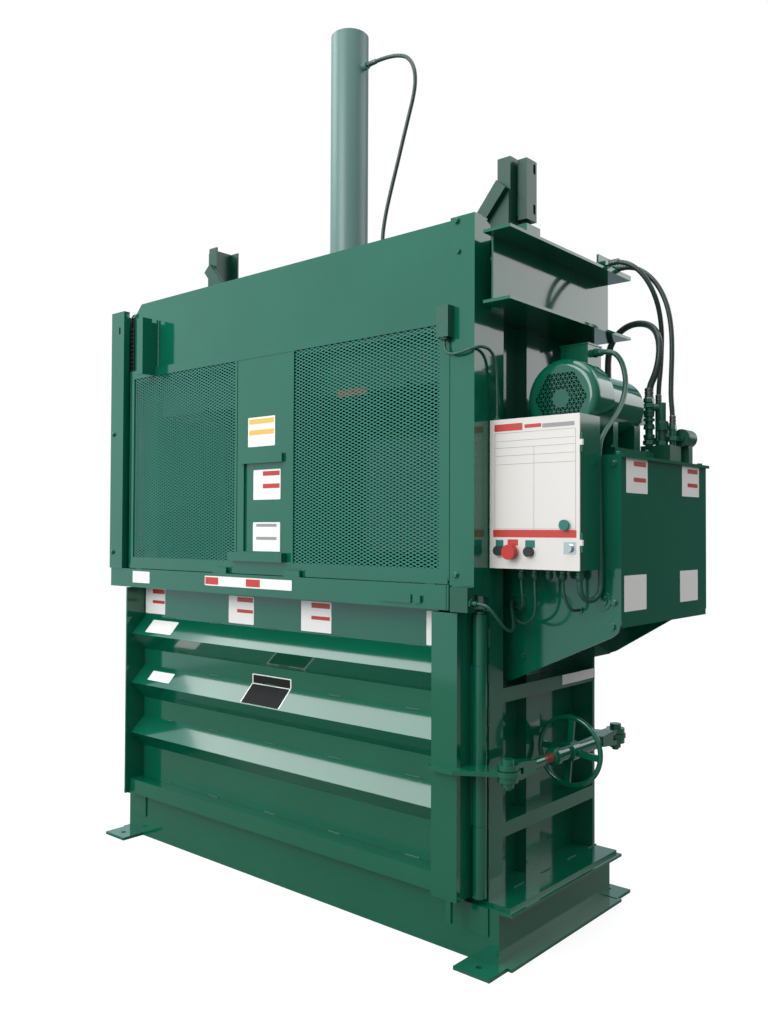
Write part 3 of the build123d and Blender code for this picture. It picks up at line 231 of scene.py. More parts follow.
# The platen's paint is a darker green. This is painted shade, for the shade inside the chamber
# behind the gate. Its higher roughness stands for matte paint.
chamber_painted_shade = mix_finish(
    "chamber_painted_shade", (0.003, 0.060, 0.034), (0.002, 0.040, 0.023), (0.30, 0.45))
faded_enamel = mix_finish(
    "faded_enamel", (0.105, 0.195, 0.180), (0.080, 0.165, 0.150), (0.28, 0.40))
green_overspray = mix_finish(
    "green_overspray", (0.008, 0.095, 0.052), (0.003, 0.060, 0.034), (0.30, 0.45))
weld_green = mix_finish(
    "weld_green", (0.030, 0.130, 0.078), (0.010, 0.080, 0.046), (0.22, 0.35), grain=90, bump=0.3)
panel_enamel = mix_finish(
    "panel_enamel", (0.66, 0.64, 0.61), (0.62, 0.60, 0.57), (0.28, 0.36), bump=0.01)
print(len(bpy.data.materials), "finishes so far")

# %% Metals, rubber and plastics
chrome_rod = mix_finish(
    "chrome_rod", (0.62, 0.63, 0.64), (0.52, 0.53, 0.54), (0.08, 0.14), metal=1.0)
bare_steel = mix_finish(
    "bare_steel", (0.20, 0.20, 0.20), (0.09, 0.09, 0.09), (0.35, 0.50), metal=1.0)
chrome_trim = mix_finish(
    "chrome_trim", (0.55, 0.55, 0.54), (0.46, 0.46, 0.45), (0.18, 0.26), metal=1.0)
hose_rubber = mix_finish(
    "hose_rubber", (0.024, 0.044, 0.036), (0.014, 0.028, 0.023), (0.30, 0.42))
cable_sheath = mix_finish(
    "cable_sheath", (0.016, 0.092, 0.058), (0.010, 0.060, 0.038), (0.32, 0.44))
black_plastic = mix_finish(
    "black_plastic", (0.012, 0.012, 0.013), (0.008, 0.008, 0.009), (0.30, 0.42))
red_plastic = mix_finish(
    "red_plastic", (0.52, 0.020, 0.012), (0.42, 0.014, 0.010), (0.28, 0.36))
teal_plastic = mix_finish(
    "teal_plastic", (0.010, 0.160, 0.130), (0.008, 0.120, 0.100), (0.28, 0.36))
filler_white = mix_finish(
    "filler_white", (0.74, 0.75, 0.73), (0.68, 0.69, 0.67), (0.30, 0.40))
print(len(bpy.data.materials), "finishes so far")

# %% Cards
card_white = mix_finish(
    "card_white", (0.80, 0.80, 0.78), (0.76, 0.76, 0.74), (0.30, 0.38), bump=0.0)
card_yellow = mix_finish(
    "card_yellow", (0.78, 0.46, 0.09), (0.74, 0.42, 0.08), (0.30, 0.38), bump=0.0)
card_red = mix_finish(
    "card_red", (0.50, 0.035, 0.025), (0.45, 0.030, 0.022), (0.30, 0.38), bump=0.0)
card_grey = mix_finish(
    "card_grey", (0.28, 0.28, 0.28), (0.25, 0.25, 0.25), (0.30, 0.38), bump=0.0)
card_black = mix_finish(
    "card_black", (0.012, 0.012, 0.012), (0.010, 0.010, 0.010), (0.55, 0.65), bump=0.0)
card_black.node_tree.nodes["Principled BSDF"].inputs["Specular IOR Level"].default_value = 0.15
print(len(bpy.data.materials), "finishes so far")

# %% The floor's paint: grey under the lamps, lifted for the camera to meet the white background
floor_mirrored_share, floor_lift = 0.05, 0.84
floor_paint = mix_finish(
    "floor_paint", (0.17, 0.17, 0.17), (0.16, 0.16, 0.16), (0.60, 0.70), bump=0.0)
floor_tree = floor_paint.node_tree
floor_ray = floor_tree.nodes.new("ShaderNodeLightPath").outputs
floor_seen = seen_share(floor_tree, floor_ray, floor_mirrored_share)
floor_shader = floor_tree.nodes["Principled BSDF"]
floor_shader.inputs["Emission Color"].default_value = white
floor_tree.links.new(calculate(floor_tree, "MULTIPLY", floor_seen, floor_lift),
                     floor_shader.inputs["Emission Strength"])
floor.data.materials.append(floor_paint)
print(len(bpy.data.materials), "finishes in all")

# %% Give every CAD node its finish
painted = {
    green_enamel: """base_frame chamber_floor corner_posts wall_sheets guide_channels side_ribs
        top_beams head_beams upper_cover right_column gate_post counterweight gate_frame gate_mesh
        gate_panel sill door_panel door_ribs hinge_tubes hinge_pins latch_bar rear_lug rear_yoke
        handwheel front_yoke power_shelf tank tank_lid motor_body fan_cover pump control_box
        hose_bracket""",
    green_overspray: "valve_block return_filter limit_switches motor_fan",
    faded_enamel: "cylinder",
    # The platen's darker green is painted shade.
    chamber_painted_shade: "platen platen_guides",
    chrome_rod: "ram_rod",
    bare_steel: "sprocket_top sprocket_bottom gate_chain",
    panel_enamel: "control_door",
    black_plastic: "start_knob mode_knob",
    red_plastic: "stop_button",
    teal_plastic: "round_button",
    chrome_trim: "key_switch",
    hose_rubber: "cylinder_hose pressure_hose_1 pressure_hose_2 return_hose",
    cable_sheath: """motor_conduit gate_switch_cable door_switch_cable control_cable_1
        control_cable_2 control_cable_3""",
}
for finish, names in painted.items():
    for name in names.split():
        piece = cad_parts[name]
        if not piece.material_slots:
            piece.data.materials.append(finish)
        for place in piece.material_slots:
            place.material = finish
unpainted = set(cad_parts) - set(" ".join(painted.values()).split())
print("CAD nodes without a finish:", sorted(unpainted))

# %% [markdown]
# ## Hoses and cables
# Hydraulic hoses bend in long even curves between crimped ends. A NURBS curve through the CAD
# model's own route points gives such a curve, and its bevel depth is the hose's radius. Each one
# stands for the CAD cord, which is then hidden.

# %% A helper that lays a cord


def lay_cord(name, route, radius, finish):
    """A NURBS curve along a route in millimetres, which stands for the CAD cord of that name."""
    line = bpy.data.curves.new(name + "_line", "CURVE")
    line.dimensions = "3D"
    line.bevel_depth = radius / 1000
    line.bevel_resolution = 5
    line.resolution_u = 8
    line.use_fill_caps = True
    spline = line.splines.new("NURBS")
    spline.points.add(len(route) - 1)
    for point, place in zip(spline.points, route):
        point.co = (*[value / 1000 for value in place], 1)
    spline.order_u = 3
    spline.use_endpoint_u = True
    cord = bpy.data.objects.new(name + "_cord", line)
    bpy.context.scene.collection.objects.link(cord)
    cord.data.materials.append(finish)
    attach(cord, "frame")
    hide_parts(name)


# %% The hydraulic hoses
cylinder_hose_route = [
    (103, 0, 3385), (165, 0, 3385), (228, -6, 3376), (288, -12, 3360), (339, -16, 3334),
    (372, -19, 3286), (384, -21, 3228), (376, -22, 3166), (352, -22, 3094), (322, -21, 3008),
    (288, -20, 2906), (252, -20, 2800), (222, -20, 2700), (206, -20, 2604), (206, -20, 2435)]
pressure_hose_1_route = [
    (1080, 269, 2412), (1130, 269, 2412), (1182, 273, 2388), (1222, 287, 2342), (1246, 308, 2285),
    (1252, 343, 2222), (1244, 381, 2152), (1238, 392, 2085), (1234, 392, 2010), (1228, 386, 1934),
    (1228, 386, 1868)]
pressure_hose_2_route = [
    (1080, 338, 2407), (1135, 338, 2407), (1190, 341, 2380), (1236, 345, 2332), (1268, 349, 2272),
    (1286, 353, 2205), (1293, 357, 2135), (1292, 361, 2055), (1287, 365, 1975), (1284, 368, 1900),
    (1290, 370, 1836), (1290, 370, 1784)]
return_hose_route = [
    (1042, 412, 1690), (1042, 412, 1765), (1028, 412, 1848), (1014, 412, 1930), (1008, 412, 2010),
    (1008.5, 412, 2085), (1020, 412, 2136), (1052, 412, 2177), (1100, 408, 2200),
    (1152, 401, 2200), (1206, 376, 2177), (1244, 346, 2136), (1258, 332, 2085), (1255, 329, 2032),
    (1240, 330, 1982), (1216, 331, 1936), (1216, 331, 1888)]
lay_cord("cylinder_hose", cylinder_hose_route, 8, hose_rubber)
lay_cord("pressure_hose_1", pressure_hose_1_route, 9, hose_rubber)
lay_cord("pressure_hose_2", pressure_hose_2_route, 9, hose_rubber)
lay_cord("return_hose", return_hose_route, 12.5, hose_rubber)
print("hydraulic hoses: 4")

# %% The conduit and the control cables
motor_conduit_route = [
    (1196, 5, 2024), (1232, 5, 2024), (1260, 14, 1996), (1274, 18, 1950), (1283, 8, 1900),
    (1289, -22, 1852), (1293, -64, 1808), (1294, -114, 1768), (1294, -166, 1730),
    (1296, -205, 1688), (1298, -213, 1630), (1300, -212, 1530), (1302, -212, 1410),
    (1304, -212, 1320), (1305, -212, 1262), (1305, -212.5, 1221), (1301, -225, 1199),
    (1295, -245, 1187), (1289, -268, 1187), (1283, -289, 1199), (1279, -302, 1221),
    (1279, -302, 1258)]
gate_switch_cable_route = [
    (862, -454, 2034), (862, -454, 2010), (874, -455, 1993), (900, -456, 1985), (934, -456, 1988),
    (966, -453, 1996), (986, -436, 2003), (991, -408, 2005), (991, -378, 2001), (990, -353, 1984),
    (990, -340, 1950), (992, -335, 1895), (992, -335, 1785)]
door_switch_cable_route = [
    (1000, -460, 1172), (1024, -460, 1172), (1046, -453, 1158), (1059, -436, 1130),
    (1063, -408, 1102), (1060, -372, 1083), (1050, -334, 1078), (1034, -298, 1086),
    (1014, -270, 1106), (998, -254, 1136), (982, -234, 1158), (974, -216, 1168),
    (974, -198, 1168)]
control_cable_1_route = [
    (1052, -280, 1258), (1052, -280, 1222), (1054, -276, 1188), (1049, -266, 1160),
    (1034, -252, 1144), (1014, -236, 1142), (998, -218, 1150), (998, -198, 1150)]
control_cable_2_route = [
    (1103, -280, 1258), (1103, -280, 1214), (1105, -278, 1172), (1098, -272, 1134),
    (1078, -264, 1108), (1049, -255, 1096), (1018, -251, 1103), (996, -247, 1120),
    (985, -234, 1137), (981, -217, 1146), (981, -198, 1146)]
control_cable_3_route = [
    (1207, -280, 1258), (1207, -280, 1222), (1211, -274, 1188), (1218, -262, 1162),
    (1223, -246, 1150), (1224, -226, 1150), (1224, -206, 1150)]
lay_cord("motor_conduit", motor_conduit_route, 9, cable_sheath)
lay_cord("gate_switch_cable", gate_switch_cable_route, 5, cable_sheath)
lay_cord("door_switch_cable", door_switch_cable_route, 5, cable_sheath)
lay_cord("control_cable_1", control_cable_1_route, 5, cable_sheath)
lay_cord("control_cable_2", control_cable_2_route, 5, cable_sheath)
lay_cord("control_cable_3", control_cable_3_route, 5, cable_sheath)
print("conduit and cables: 6")

# %% [markdown]
# ## Expanded metal
# The gate's screens are expanded metal: a slit sheet pulled apart into diamonds. One diamond is a
# square turned on its corner, inset to a strand and given a thickness. Two array modifiers repeat
# it over the opening, and bisecting with the opening's four sides trims the edges as shears would.

# %% One screen of diamonds
diamond_long, diamond_short = 0.0305, 0.0127
strand_share, sheet_thick = 0.26, 0.0020


def expanded_screen(name, left, right, low, high, face_y):
    """A sheet of diamonds that fills an upright opening."""
    columns = int((right - left) / diamond_long) + 2
    rows = int((high - low) / diamond_short) + 2
    bpy.ops.object.select_all(action="DESELECT")
    bpy.ops.mesh.primitive_circle_add(vertices=4, radius=0.5, fill_type="NGON")
    screen = bpy.context.object
    screen.scale = (diamond_long, diamond_short, 1)
    bpy.ops.object.transform_apply(location=False, rotation=False, scale=True)
    bpy.ops.object.mode_set(mode="EDIT")
    bpy.ops.mesh.inset(thickness=strand_share * diamond_short / 2, depth=0)
    bpy.ops.mesh.delete(type="FACE")
    bpy.ops.mesh.select_all(action="SELECT")
    bpy.ops.mesh.extrude_region_move(TRANSFORM_OT_translate={"value": (0, 0, sheet_thick)})
    bpy.ops.mesh.select_all(action="SELECT")
    bpy.ops.mesh.normals_make_consistent(inside=False)
    bpy.ops.mesh.duplicate_move(
        TRANSFORM_OT_translate={"value": (diamond_long / 2, diamond_short / 2, 0)})
    bpy.ops.object.mode_set(mode="OBJECT")
    for axis, count, step in ((0, columns, diamond_long), (1, rows, diamond_short)):
        repeat = screen.modifiers.new("repeat", "ARRAY")
        repeat.use_relative_offset = False
        repeat.use_constant_offset = True
        repeat.constant_offset_displace = [step if index == axis else 0 for index in range(3)]
        repeat.count = count
        bpy.ops.object.modifier_apply(modifier=repeat.name)
    screen.rotation_euler = (math.pi / 2, 0, 0)
    screen.location = (left - diamond_long / 4, face_y + sheet_thick, low - diamond_short / 4)
    bpy.ops.object.transform_apply()
    bpy.ops.object.mode_set(mode="EDIT")
    sides = (((left, 0, 0), (-1, 0, 0)), ((right, 0, 0), (1, 0, 0)),
             ((0, 0, low), (0, 0, -1)), ((0, 0, high), (0, 0, 1)))
    for place, normal in sides:
        bpy.ops.mesh.select_all(action="SELECT")
        bpy.ops.mesh.bisect(plane_co=place, plane_no=normal, clear_outer=True, use_fill=False)
    bpy.ops.object.mode_set(mode="OBJECT")
    screen.name = name
    return screen


# %% The two screens stand for the CAD mesh
# The screens take the lighter screen enamel, whose extra lightness is painted light.
opening_low, opening_high, screen_face = 1.274, 2.102, -0.4275
for name, left, right in (("screen_left", -0.952, -0.226), ("screen_right", 0.113, 0.828)):
    screen = expanded_screen(name, left, right, opening_low, opening_high, screen_face)
    screen.data.materials.append(screen_enamel_painted_light)
    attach(screen, "gate")
    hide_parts("gate_mesh")
    print("faces of", name, len(screen.data.polygons))

# %% [markdown]
# ## Blank cards
# The machine carries printed cards. Their place is kept by plain ones: a plane with rounded
# corners, drawn out to a card's thickness, turned to its face and laid on it. Most are white with
# plain bands. The black plate on the door is bent over the second rib, so it takes two cards, and
# its pale edge another two.

# %% A helper that lays a card


def lay_card(name, place, wide, tall, facing, finish, body="frame", thick=0.0005, corner=0.004):
    """A rounded card with its middle at a place. Facing is its turn in degrees about X, then Z."""
    bpy.ops.object.select_all(action="DESELECT")
    bpy.ops.mesh.primitive_plane_add(size=1)
    card = bpy.context.object
    card.scale = (wide, tall, 1)
    bpy.ops.object.transform_apply(location=False, rotation=False, scale=True)
    bpy.ops.object.mode_set(mode="EDIT")
    bpy.ops.mesh.select_all(action="SELECT")
    bpy.ops.mesh.bevel(offset=corner, segments=3, affect="VERTICES")
    bpy.ops.mesh.extrude_region_move(TRANSFORM_OT_translate={"value": (0, 0, thick)})
    bpy.ops.mesh.select_all(action="SELECT")
    bpy.ops.mesh.normals_make_consistent(inside=False)
    bpy.ops.object.mode_set(mode="OBJECT")
    card.rotation_euler = (math.radians(facing[0]), 0, math.radians(facing[1]))
    card.location = place
    bpy.ops.object.transform_apply()
    card.name = name
    card.data.materials.append(finish)
    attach(card, body)


# %% Cards on the gate, the sill and the door
front, right_side, rib_1_slope, rib_2_slope = (90, 0), (90, 90), (47.6, 0), (47.2, 0)
gate_high, gate_low, sill_face, door_face = -0.430, -0.421, -0.450, -0.3533
front_cards = (
    ("card_gate_top", (-0.070, gate_high, 1.798), 0.160, 0.118, front, card_white, "gate"),
    ("card_gate_middle", (-0.046, gate_low, 1.586), 0.160, 0.120, front, card_white, "gate"),
    ("card_gate_low", (-0.047, gate_low, 1.378), 0.160, 0.116, front, card_white, "gate"),
    ("card_sill_left", (-0.855, sill_face, 1.190), 0.130, 0.052, front, card_white, "frame"),
    ("card_sill_band", (-0.132, sill_face, 1.193), 0.528, 0.040, front, card_white, "frame"),
    ("card_door_left", (-0.880, door_face, 1.076), 0.150, 0.118, front, card_white, "door"),
    ("card_door_middle", (-0.276, door_face, 1.070), 0.160, 0.115, front, card_white, "door"),
    ("card_door_right", (0.167, door_face, 1.070), 0.165, 0.118, front, card_white, "door"),
    ("card_door_edge", (0.724, door_face, 1.067), 0.026, 0.120, front, card_white, "door"),
    ("card_rib_1", (-0.780, -0.3885, 0.9645), 0.190, 0.070, rib_1_slope, card_white, "door"),
    ("card_rib_2", (-0.785, -0.3873, 0.7402), 0.160, 0.050, rib_2_slope, card_white, "door"),
    ("plate_edge_up", (-0.085, -0.3873, 0.7402), 0.232, 0.096, rib_2_slope, card_white, "door"),
    ("plate_edge_back", (-0.085, door_face, 0.7950), 0.232, 0.038, front, card_white, "door"))
for card in front_cards:
    lay_card(*card)
plate_thick = 0.001
lay_card("plate_field_up", (-0.085, -0.3885, 0.7389), 0.220, 0.092, rib_2_slope, card_black,
         "door", plate_thick)
lay_card("plate_field_back", (-0.085, door_face, 0.7935), 0.220, 0.033, front, card_black,
         "door", plate_thick)
print("cards in front", len(front_cards), "and the plate")

# %% The plain bands on the cards
high_band, low_band, sill_band, door_band, tank_band = -0.4305, -0.4215, -0.4505, -0.3538, 1.3655
band_thick, band_corner = 0.0003, 0.001
card_bands = (
    ("gate_1", (-0.070, high_band, 1.840), 0.148, 0.020, front, card_yellow, "gate"),
    ("gate_2", (-0.070, high_band, 1.796), 0.148, 0.020, front, card_yellow, "gate"),
    ("gate_3", (-0.020, low_band, 1.630), 0.098, 0.018, front, card_red, "gate"),
    ("gate_4", (-0.020, low_band, 1.580), 0.098, 0.018, front, card_red, "gate"),
    ("gate_5", (-0.047, low_band, 1.424), 0.120, 0.012, front, card_grey, "gate"),
    ("gate_6", (-0.047, low_band, 1.372), 0.120, 0.012, front, card_grey, "gate"),
    ("sill_1", (-0.350, sill_band, 1.193), 0.084, 0.030, front, card_red, "frame"),
    ("sill_2", (-0.092, sill_band, 1.193), 0.084, 0.030, front, card_red, "frame"),
    ("door_1", (-0.855, door_band, 1.120), 0.092, 0.020, front, card_red, "door"),
    ("door_2", (-0.855, door_band, 1.072), 0.092, 0.014, front, card_red, "door"),
    ("door_3", (-0.251, door_band, 1.114), 0.100, 0.020, front, card_red, "door"),
    ("door_4", (-0.251, door_band, 1.066), 0.100, 0.014, front, card_red, "door"),
    ("door_5", (0.192, door_band, 1.114), 0.100, 0.020, front, card_red, "door"),
    ("door_6", (0.192, door_band, 1.066), 0.100, 0.014, front, card_red, "door"),
    ("tank_1", (tank_band, -0.060, 1.625), 0.090, 0.016, right_side, card_red, "frame"),
    ("tank_2", (tank_band, -0.060, 1.573), 0.090, 0.014, right_side, card_red, "frame"),
    ("tank_3", (tank_band, 0.368, 1.622), 0.090, 0.016, right_side, card_red, "frame"),
    ("tank_4", (tank_band, 0.368, 1.572), 0.090, 0.014, right_side, card_red, "frame"))
for name, *band in card_bands:
    lay_card("band_" + name, *band, band_thick, band_corner)
print("bands", len(card_bands))

# %% Cards on the tank, the side and the platen
tank_face = 1.365
side_cards = (
    ("card_tank_1", (tank_face, -0.080, 1.585), 0.155, 0.112, right_side, card_white),
    ("card_tank_2", (tank_face, 0.351, 1.585), 0.150, 0.108, right_side, card_white),
    ("card_tank_3", (tank_face, -0.092, 1.207), 0.160, 0.115, right_side, card_white),
    ("card_tank_4", (tank_face, 0.335, 1.212), 0.155, 0.110, right_side, card_white),
    ("card_side_rib", (0.970, 0.247, 0.856), 0.240, 0.036, right_side, card_white),
    ("card_platen", (0.340, -0.3425, 1.926), 0.150, 0.028, front, card_red, "ram"))
for card in side_cards:
    lay_card(*card)
print("cards at the side and inside", len(side_cards))

# %% The fields of the control panel, all left blank
panel_face = -0.3543
field_thick, field_corner = 0.0004, 0.002
panel_fields = (
    ("head_left", 0.994, 1.102, 1.731, 1.754, card_red),
    ("head_middle", 1.110, 1.172, 1.736, 1.748, card_red),
    ("head_right", 1.176, 1.290, 1.733, 1.746, card_grey),
    ("foot_band", 0.990, 1.297, 1.385, 1.409, card_red),
    ("legend_start", 1.000, 1.030, 1.352, 1.376, teal_plastic),
    ("legend_stop", 1.046, 1.086, 1.358, 1.378, card_red),
    ("legend_mode", 1.113, 1.149, 1.352, 1.376, teal_plastic),
    ("lock_plate", 1.252, 1.296, 1.334, 1.372, chrome_trim))
for name, left, right, low, high, finish in panel_fields:
    place = ((left + right) / 2, panel_face, (low + high) / 2)
    lay_card("panel_" + name, place, right - left, high - low, front, finish, "panel_door",
             field_thick, field_corner)
print("panel fields", len(panel_fields))

# %% The rules of the control panel
rule_width, rule_thick, rule_corner = 0.0012, 0.0003, 0.0003
rules = [("row", z, 0.996, 1.294) for z in (1.724, 1.676, 1.622, 1.412)]
rules += [("row", z, 1.000, 1.290) for z in (1.698, 1.650)]
rules += [("column", x, 1.412, 1.724) for x in (0.996, 1.294)] + [("column", 1.145, 1.412, 1.676)]
for index, (kind, across, start, end) in enumerate(rules):
    if kind == "row":
        place, wide, tall = ((start + end) / 2, panel_face, across), end - start, rule_width
    else:
        place, wide, tall = (across, panel_face, (start + end) / 2), rule_width, end - start
    lay_card("panel_rule_%d" % index, place, wide, tall, front, card_grey, "panel_door",
             rule_thick, rule_corner)
print("panel rules", len(rules))

# %% [markdown]
# ## Thin green trim
# Plain bars and strips are made in the same way as a card, only thicker and in the machine's green:
# a strip over each front corner of the base, the sill's end cap, a slide bar and a stop bar on the
# sill, and a strip on the gate's bottom rail.

# %% Strips and bars
base_flat = (0, 0)
for name, x in (("base_strip_left", -0.955), ("base_strip_right", 0.955)):
    lay_card(name, (x, -0.3625, 0.1805), 0.148, 0.030, base_flat, green_enamel, "frame",
             0.0012, 0.001)
green_bars = (
    ("sill_end_cap", (0.8725, -0.398, 1.1845), 0.009, 0.083, "frame", 0.050, 0.001),
    ("sill_slide", (0.653, -0.450, 1.1745), 0.138, 0.030, "frame", 0.006, 0.003),
    ("sill_stop", (0.7515, -0.450, 1.1745), 0.030, 0.026, "frame", 0.010, 0.003),
    ("gate_foot_strip", (-0.0575, -0.432, 1.2385), 1.840, 0.021, "gate", 0.002, 0.001))
for name, place, wide, tall, body, thick, corner in green_bars:
    lay_card(name, place, wide, tall, front, green_enamel, body, thick, corner)
print("green strips and bars", 2 + len(green_bars))

# %% [markdown]
# ## Turned pieces
# Nuts, hose ends, gland domes and bolt heads are turned or swaged round bars. Each one starts as a
# circle that is drawn out and resized step by step through a list of radii and heights. Six corners
# in place of thirty give a hexagon nut.

# %% A helper that turns a piece


def turned(name, rings, sides=30):
    """A closed turned piece along Z from pairs of radius and height in metres."""
    bpy.ops.object.select_all(action="DESELECT")
    bpy.ops.mesh.primitive_circle_add(vertices=sides, radius=rings[0][0], fill_type="NGON",
                                      location=(0, 0, rings[0][1]))
    piece = bpy.context.object
    bpy.ops.object.transform_apply()
    bpy.ops.object.mode_set(mode="EDIT")
    for (radius, height), (next_radius, next_height) in zip(rings, rings[1:]):
        rise = (0, 0, next_height - height)
        bpy.ops.mesh.extrude_region_move(TRANSFORM_OT_translate={"value": rise})
        share = next_radius / radius
        bpy.ops.transform.resize(value=(share, share, 1), center_override=(0, 0, next_height))
    bpy.ops.mesh.select_all(action="SELECT")
    bpy.ops.mesh.fill_holes(sides=0)
    bpy.ops.mesh.select_all(action="SELECT")
    bpy.ops.mesh.normals_make_consistent(inside=False)
    bpy.ops.object.mode_set(mode="OBJECT")
    piece.name = name
    return piece


# %% Helpers that stand copies in place, join them and take the pattern away
smooth_angle = math.radians(35)


def stand(pattern, place, direction=(0, 0, 1)):
    """A copy of a piece with its own mesh, its foot at a place and its length along a direction."""
    copy = pattern.copy()
    copy.data = pattern.data.copy()
    bpy.context.scene.collection.objects.link(copy)
    copy.rotation_euler = Vector(direction).to_track_quat("Z", "Y").to_euler()
    copy.location = place
    bpy.ops.object.select_all(action="DESELECT")
    copy.select_set(True)
    bpy.context.view_layer.objects.active = copy
    bpy.ops.object.transform_apply()
    return copy


def gather(name, pieces, finish, body):
    """Joins pieces into one that rides a body."""
    bpy.ops.object.select_all(action="DESELECT")
    for piece in pieces:
        piece.select_set(True)
    bpy.context.view_layer.objects.active = pieces[0]
    if len(pieces) > 1:
        bpy.ops.object.join()
    whole = bpy.context.object
    bpy.ops.object.shade_smooth_by_angle(angle=smooth_angle)
    whole.name = name
    whole.data.materials.clear()
    whole.data.materials.append(finish)
    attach(whole, body)
    print(name, len(whole.data.polygons), "faces")


def drop(*patterns):
    """Takes the patterns away once their copies are placed."""
    for pattern in patterns:
        bpy.data.objects.remove(pattern, do_unlink=True)


# %% [markdown]
# ## Hose ends
# A hydraulic hose ends in a crimped sleeve with grooves and a swivel nut. One sleeve and one nut
# are made per hose size, and a copy stands at each end of each hose, on the fitting of the CAD
# model.

# %% Sleeves and nuts of the hydraulic hoses
up, down, right, toward = (0, 0, 1), (0, 0, -1), (1, 0, 0), (0, -1, 0)
hose_ends = (
    (0.008, (((0.103, 0, 3.385), right), ((0.206, -0.020, 2.435), up))),
    (0.009, (((1.080, 0.269, 2.412), right), ((1.228, 0.386, 1.868), up),
             ((1.080, 0.338, 2.407), right), ((1.290, 0.370, 1.784), up))),
    (0.0125, (((1.042, 0.412, 1.690), up), ((1.216, 0.331, 1.888), up))))
sleeves, nuts = [], []
for radius, ends in hose_ends:
    wide, waist = radius * 1.30, radius * 1.18
    sleeve = turned("sleeve", [
        (wide * 0.9, 0.012), (wide, 0.013), (wide, 0.021), (waist, 0.022), (waist, 0.025),
        (wide, 0.026), (wide, 0.034), (waist, 0.035), (waist, 0.038), (wide, 0.039),
        (wide, 0.046), (radius * 1.05, 0.049)])
    nut_edge, nut_face = radius * 1.45, radius * 1.65
    nut = turned("nut", [
        (nut_edge, -0.006), (nut_face, -0.004), (nut_face, 0.009), (nut_edge, 0.012)], 6)
    for place, direction in ends:
        sleeves.append(stand(sleeve, place, direction))
        nuts.append(stand(nut, place, direction))
    drop(sleeve, nut)
gather("hose_sleeves", sleeves, bare_steel, "frame")
gather("hose_nuts", nuts, green_enamel, "frame")

# %% [markdown]
# ## Cable glands
# A gland is a hexagon on the wall and a dome that squeezes the cable. The dome narrows in three
# steps.

# %% Gland domes and hexagons
gland_dome = turned("gland_dome", [
    (0.0125, -0.001), (0.0135, 0.001), (0.0135, 0.010), (0.0120, 0.016), (0.0085, 0.021),
    (0.0060, 0.023)], 20)
gland_hexagon = turned("gland_hexagon", [
    (0.0145, 0.0), (0.0160, 0.001), (0.0160, 0.007), (0.0145, 0.008)], 6)
hexagon_foot, dome_foot = 1.283, 1.268
gland_parts = []
for x, y in ((1.052, -0.280), (1.103, -0.280), (1.156, -0.280), (1.207, -0.280), (1.279, -0.302)):
    gland_parts.append(stand(gland_hexagon, (x, y, hexagon_foot), down))
    gland_parts.append(stand(gland_dome, (x, y, dome_foot), down))
gland_parts.append(stand(gland_hexagon, (0.992, -0.335, 1.770), up))
gland_parts.append(stand(gland_hexagon, (0.862, -0.454, 2.045), down))
gland_parts.append(stand(gland_hexagon, (0.975, -0.460, 1.172), right))
gland_parts.append(stand(gland_hexagon, (1.171, 0.005, 2.024), right))
gland_parts.append(stand(gland_dome, (1.182, 0.005, 2.024), right))
gather("cable_glands", gland_parts, green_overspray, "frame")
drop(gland_dome, gland_hexagon)

# %% [markdown]
# ## Bolts
# One hexagon bolt with a washer is turned and copied to every place where the machine is bolted
# together.

# %% Bolts of the frame and the power unit
washer = turned("washer", [(0.0125, 0.0), (0.0130, 0.0004), (0.0130, 0.0020), (0.0125, 0.0024)], 24)
bolt_head = turned("bolt_head", [
    (0.0090, 0.0022), (0.0098, 0.0030), (0.0098, 0.0080), (0.0085, 0.0092)], 6)
bolt_places = [((x, y, 1.690), up) for x in (1.058, 1.242) for y in (-0.012, 0.255)]
bolt_places += [((x, y, 1.662), up) for x in (1.070, 1.165) for y in (-0.005, 0.195)]
bolt_places += [((x, -0.200, z), toward) for x, z in ((1.345, 1.620), (1.345, 1.180))]
bolt_places += [((0.900, -0.438, z), toward) for z in (2.430, 1.260)]
bolt_places += [((-1.075, -0.456, z), toward) for z in (1.300, 1.850)]
bolt_places += [((x, y, 1.650), up) for x in (1.040, 1.350) for y in (-0.185, 0.470)]
bolt_parts = []
for place, direction in bolt_places:
    bolt_parts += [stand(washer, place, direction), stand(bolt_head, place, direction)]
gather("frame_bolts", bolt_parts, green_enamel, "frame")
drop(washer, bolt_head)

# %% [markdown]
# ## Valve stack
# The control valve stands on the tank beside the motor. Collars ring its body, union nuts close its
# joints and those of the pipes beside it, and a white filler tube stands behind. All are turned.

# %% Collars, union nuts and filler
stack, union = (1.216, 0.331), (1.256, 0.352)
collar = turned("collar", [(0.0165, 0.0), (0.0205, 0.0015), (0.0205, 0.0105), (0.0165, 0.012)])
union_nut = turned("union_nut", [
    (0.0190, 0.0), (0.0225, 0.0015), (0.0225, 0.0165), (0.0190, 0.018)], 6)
valve_parts = [stand(collar, (*stack, z)) for z in (1.752, 1.782, 1.812, 1.842)]
valve_parts += [stand(union_nut, (*stack, z)) for z in (1.725, 1.862)]
valve_parts += [stand(union_nut, (*union, z)) for z in (1.722, 1.795)]
valve_parts += [stand(union_nut, (x, y, 1.738)) for x, y in ((1.228, 0.386), (1.290, 0.370))]
gather("valve_collars", valve_parts, green_enamel, "frame")
drop(collar, union_nut)
filler = turned("filler", [
    (0.012, 1.738), (0.0135, 1.742), (0.0135, 1.790), (0.0150, 1.792), (0.0150, 1.806),
    (0.010, 1.810)])
gather("oil_filler", [stand(filler, (1.266, 0.392, 0))], filler_white, "frame")
drop(filler)

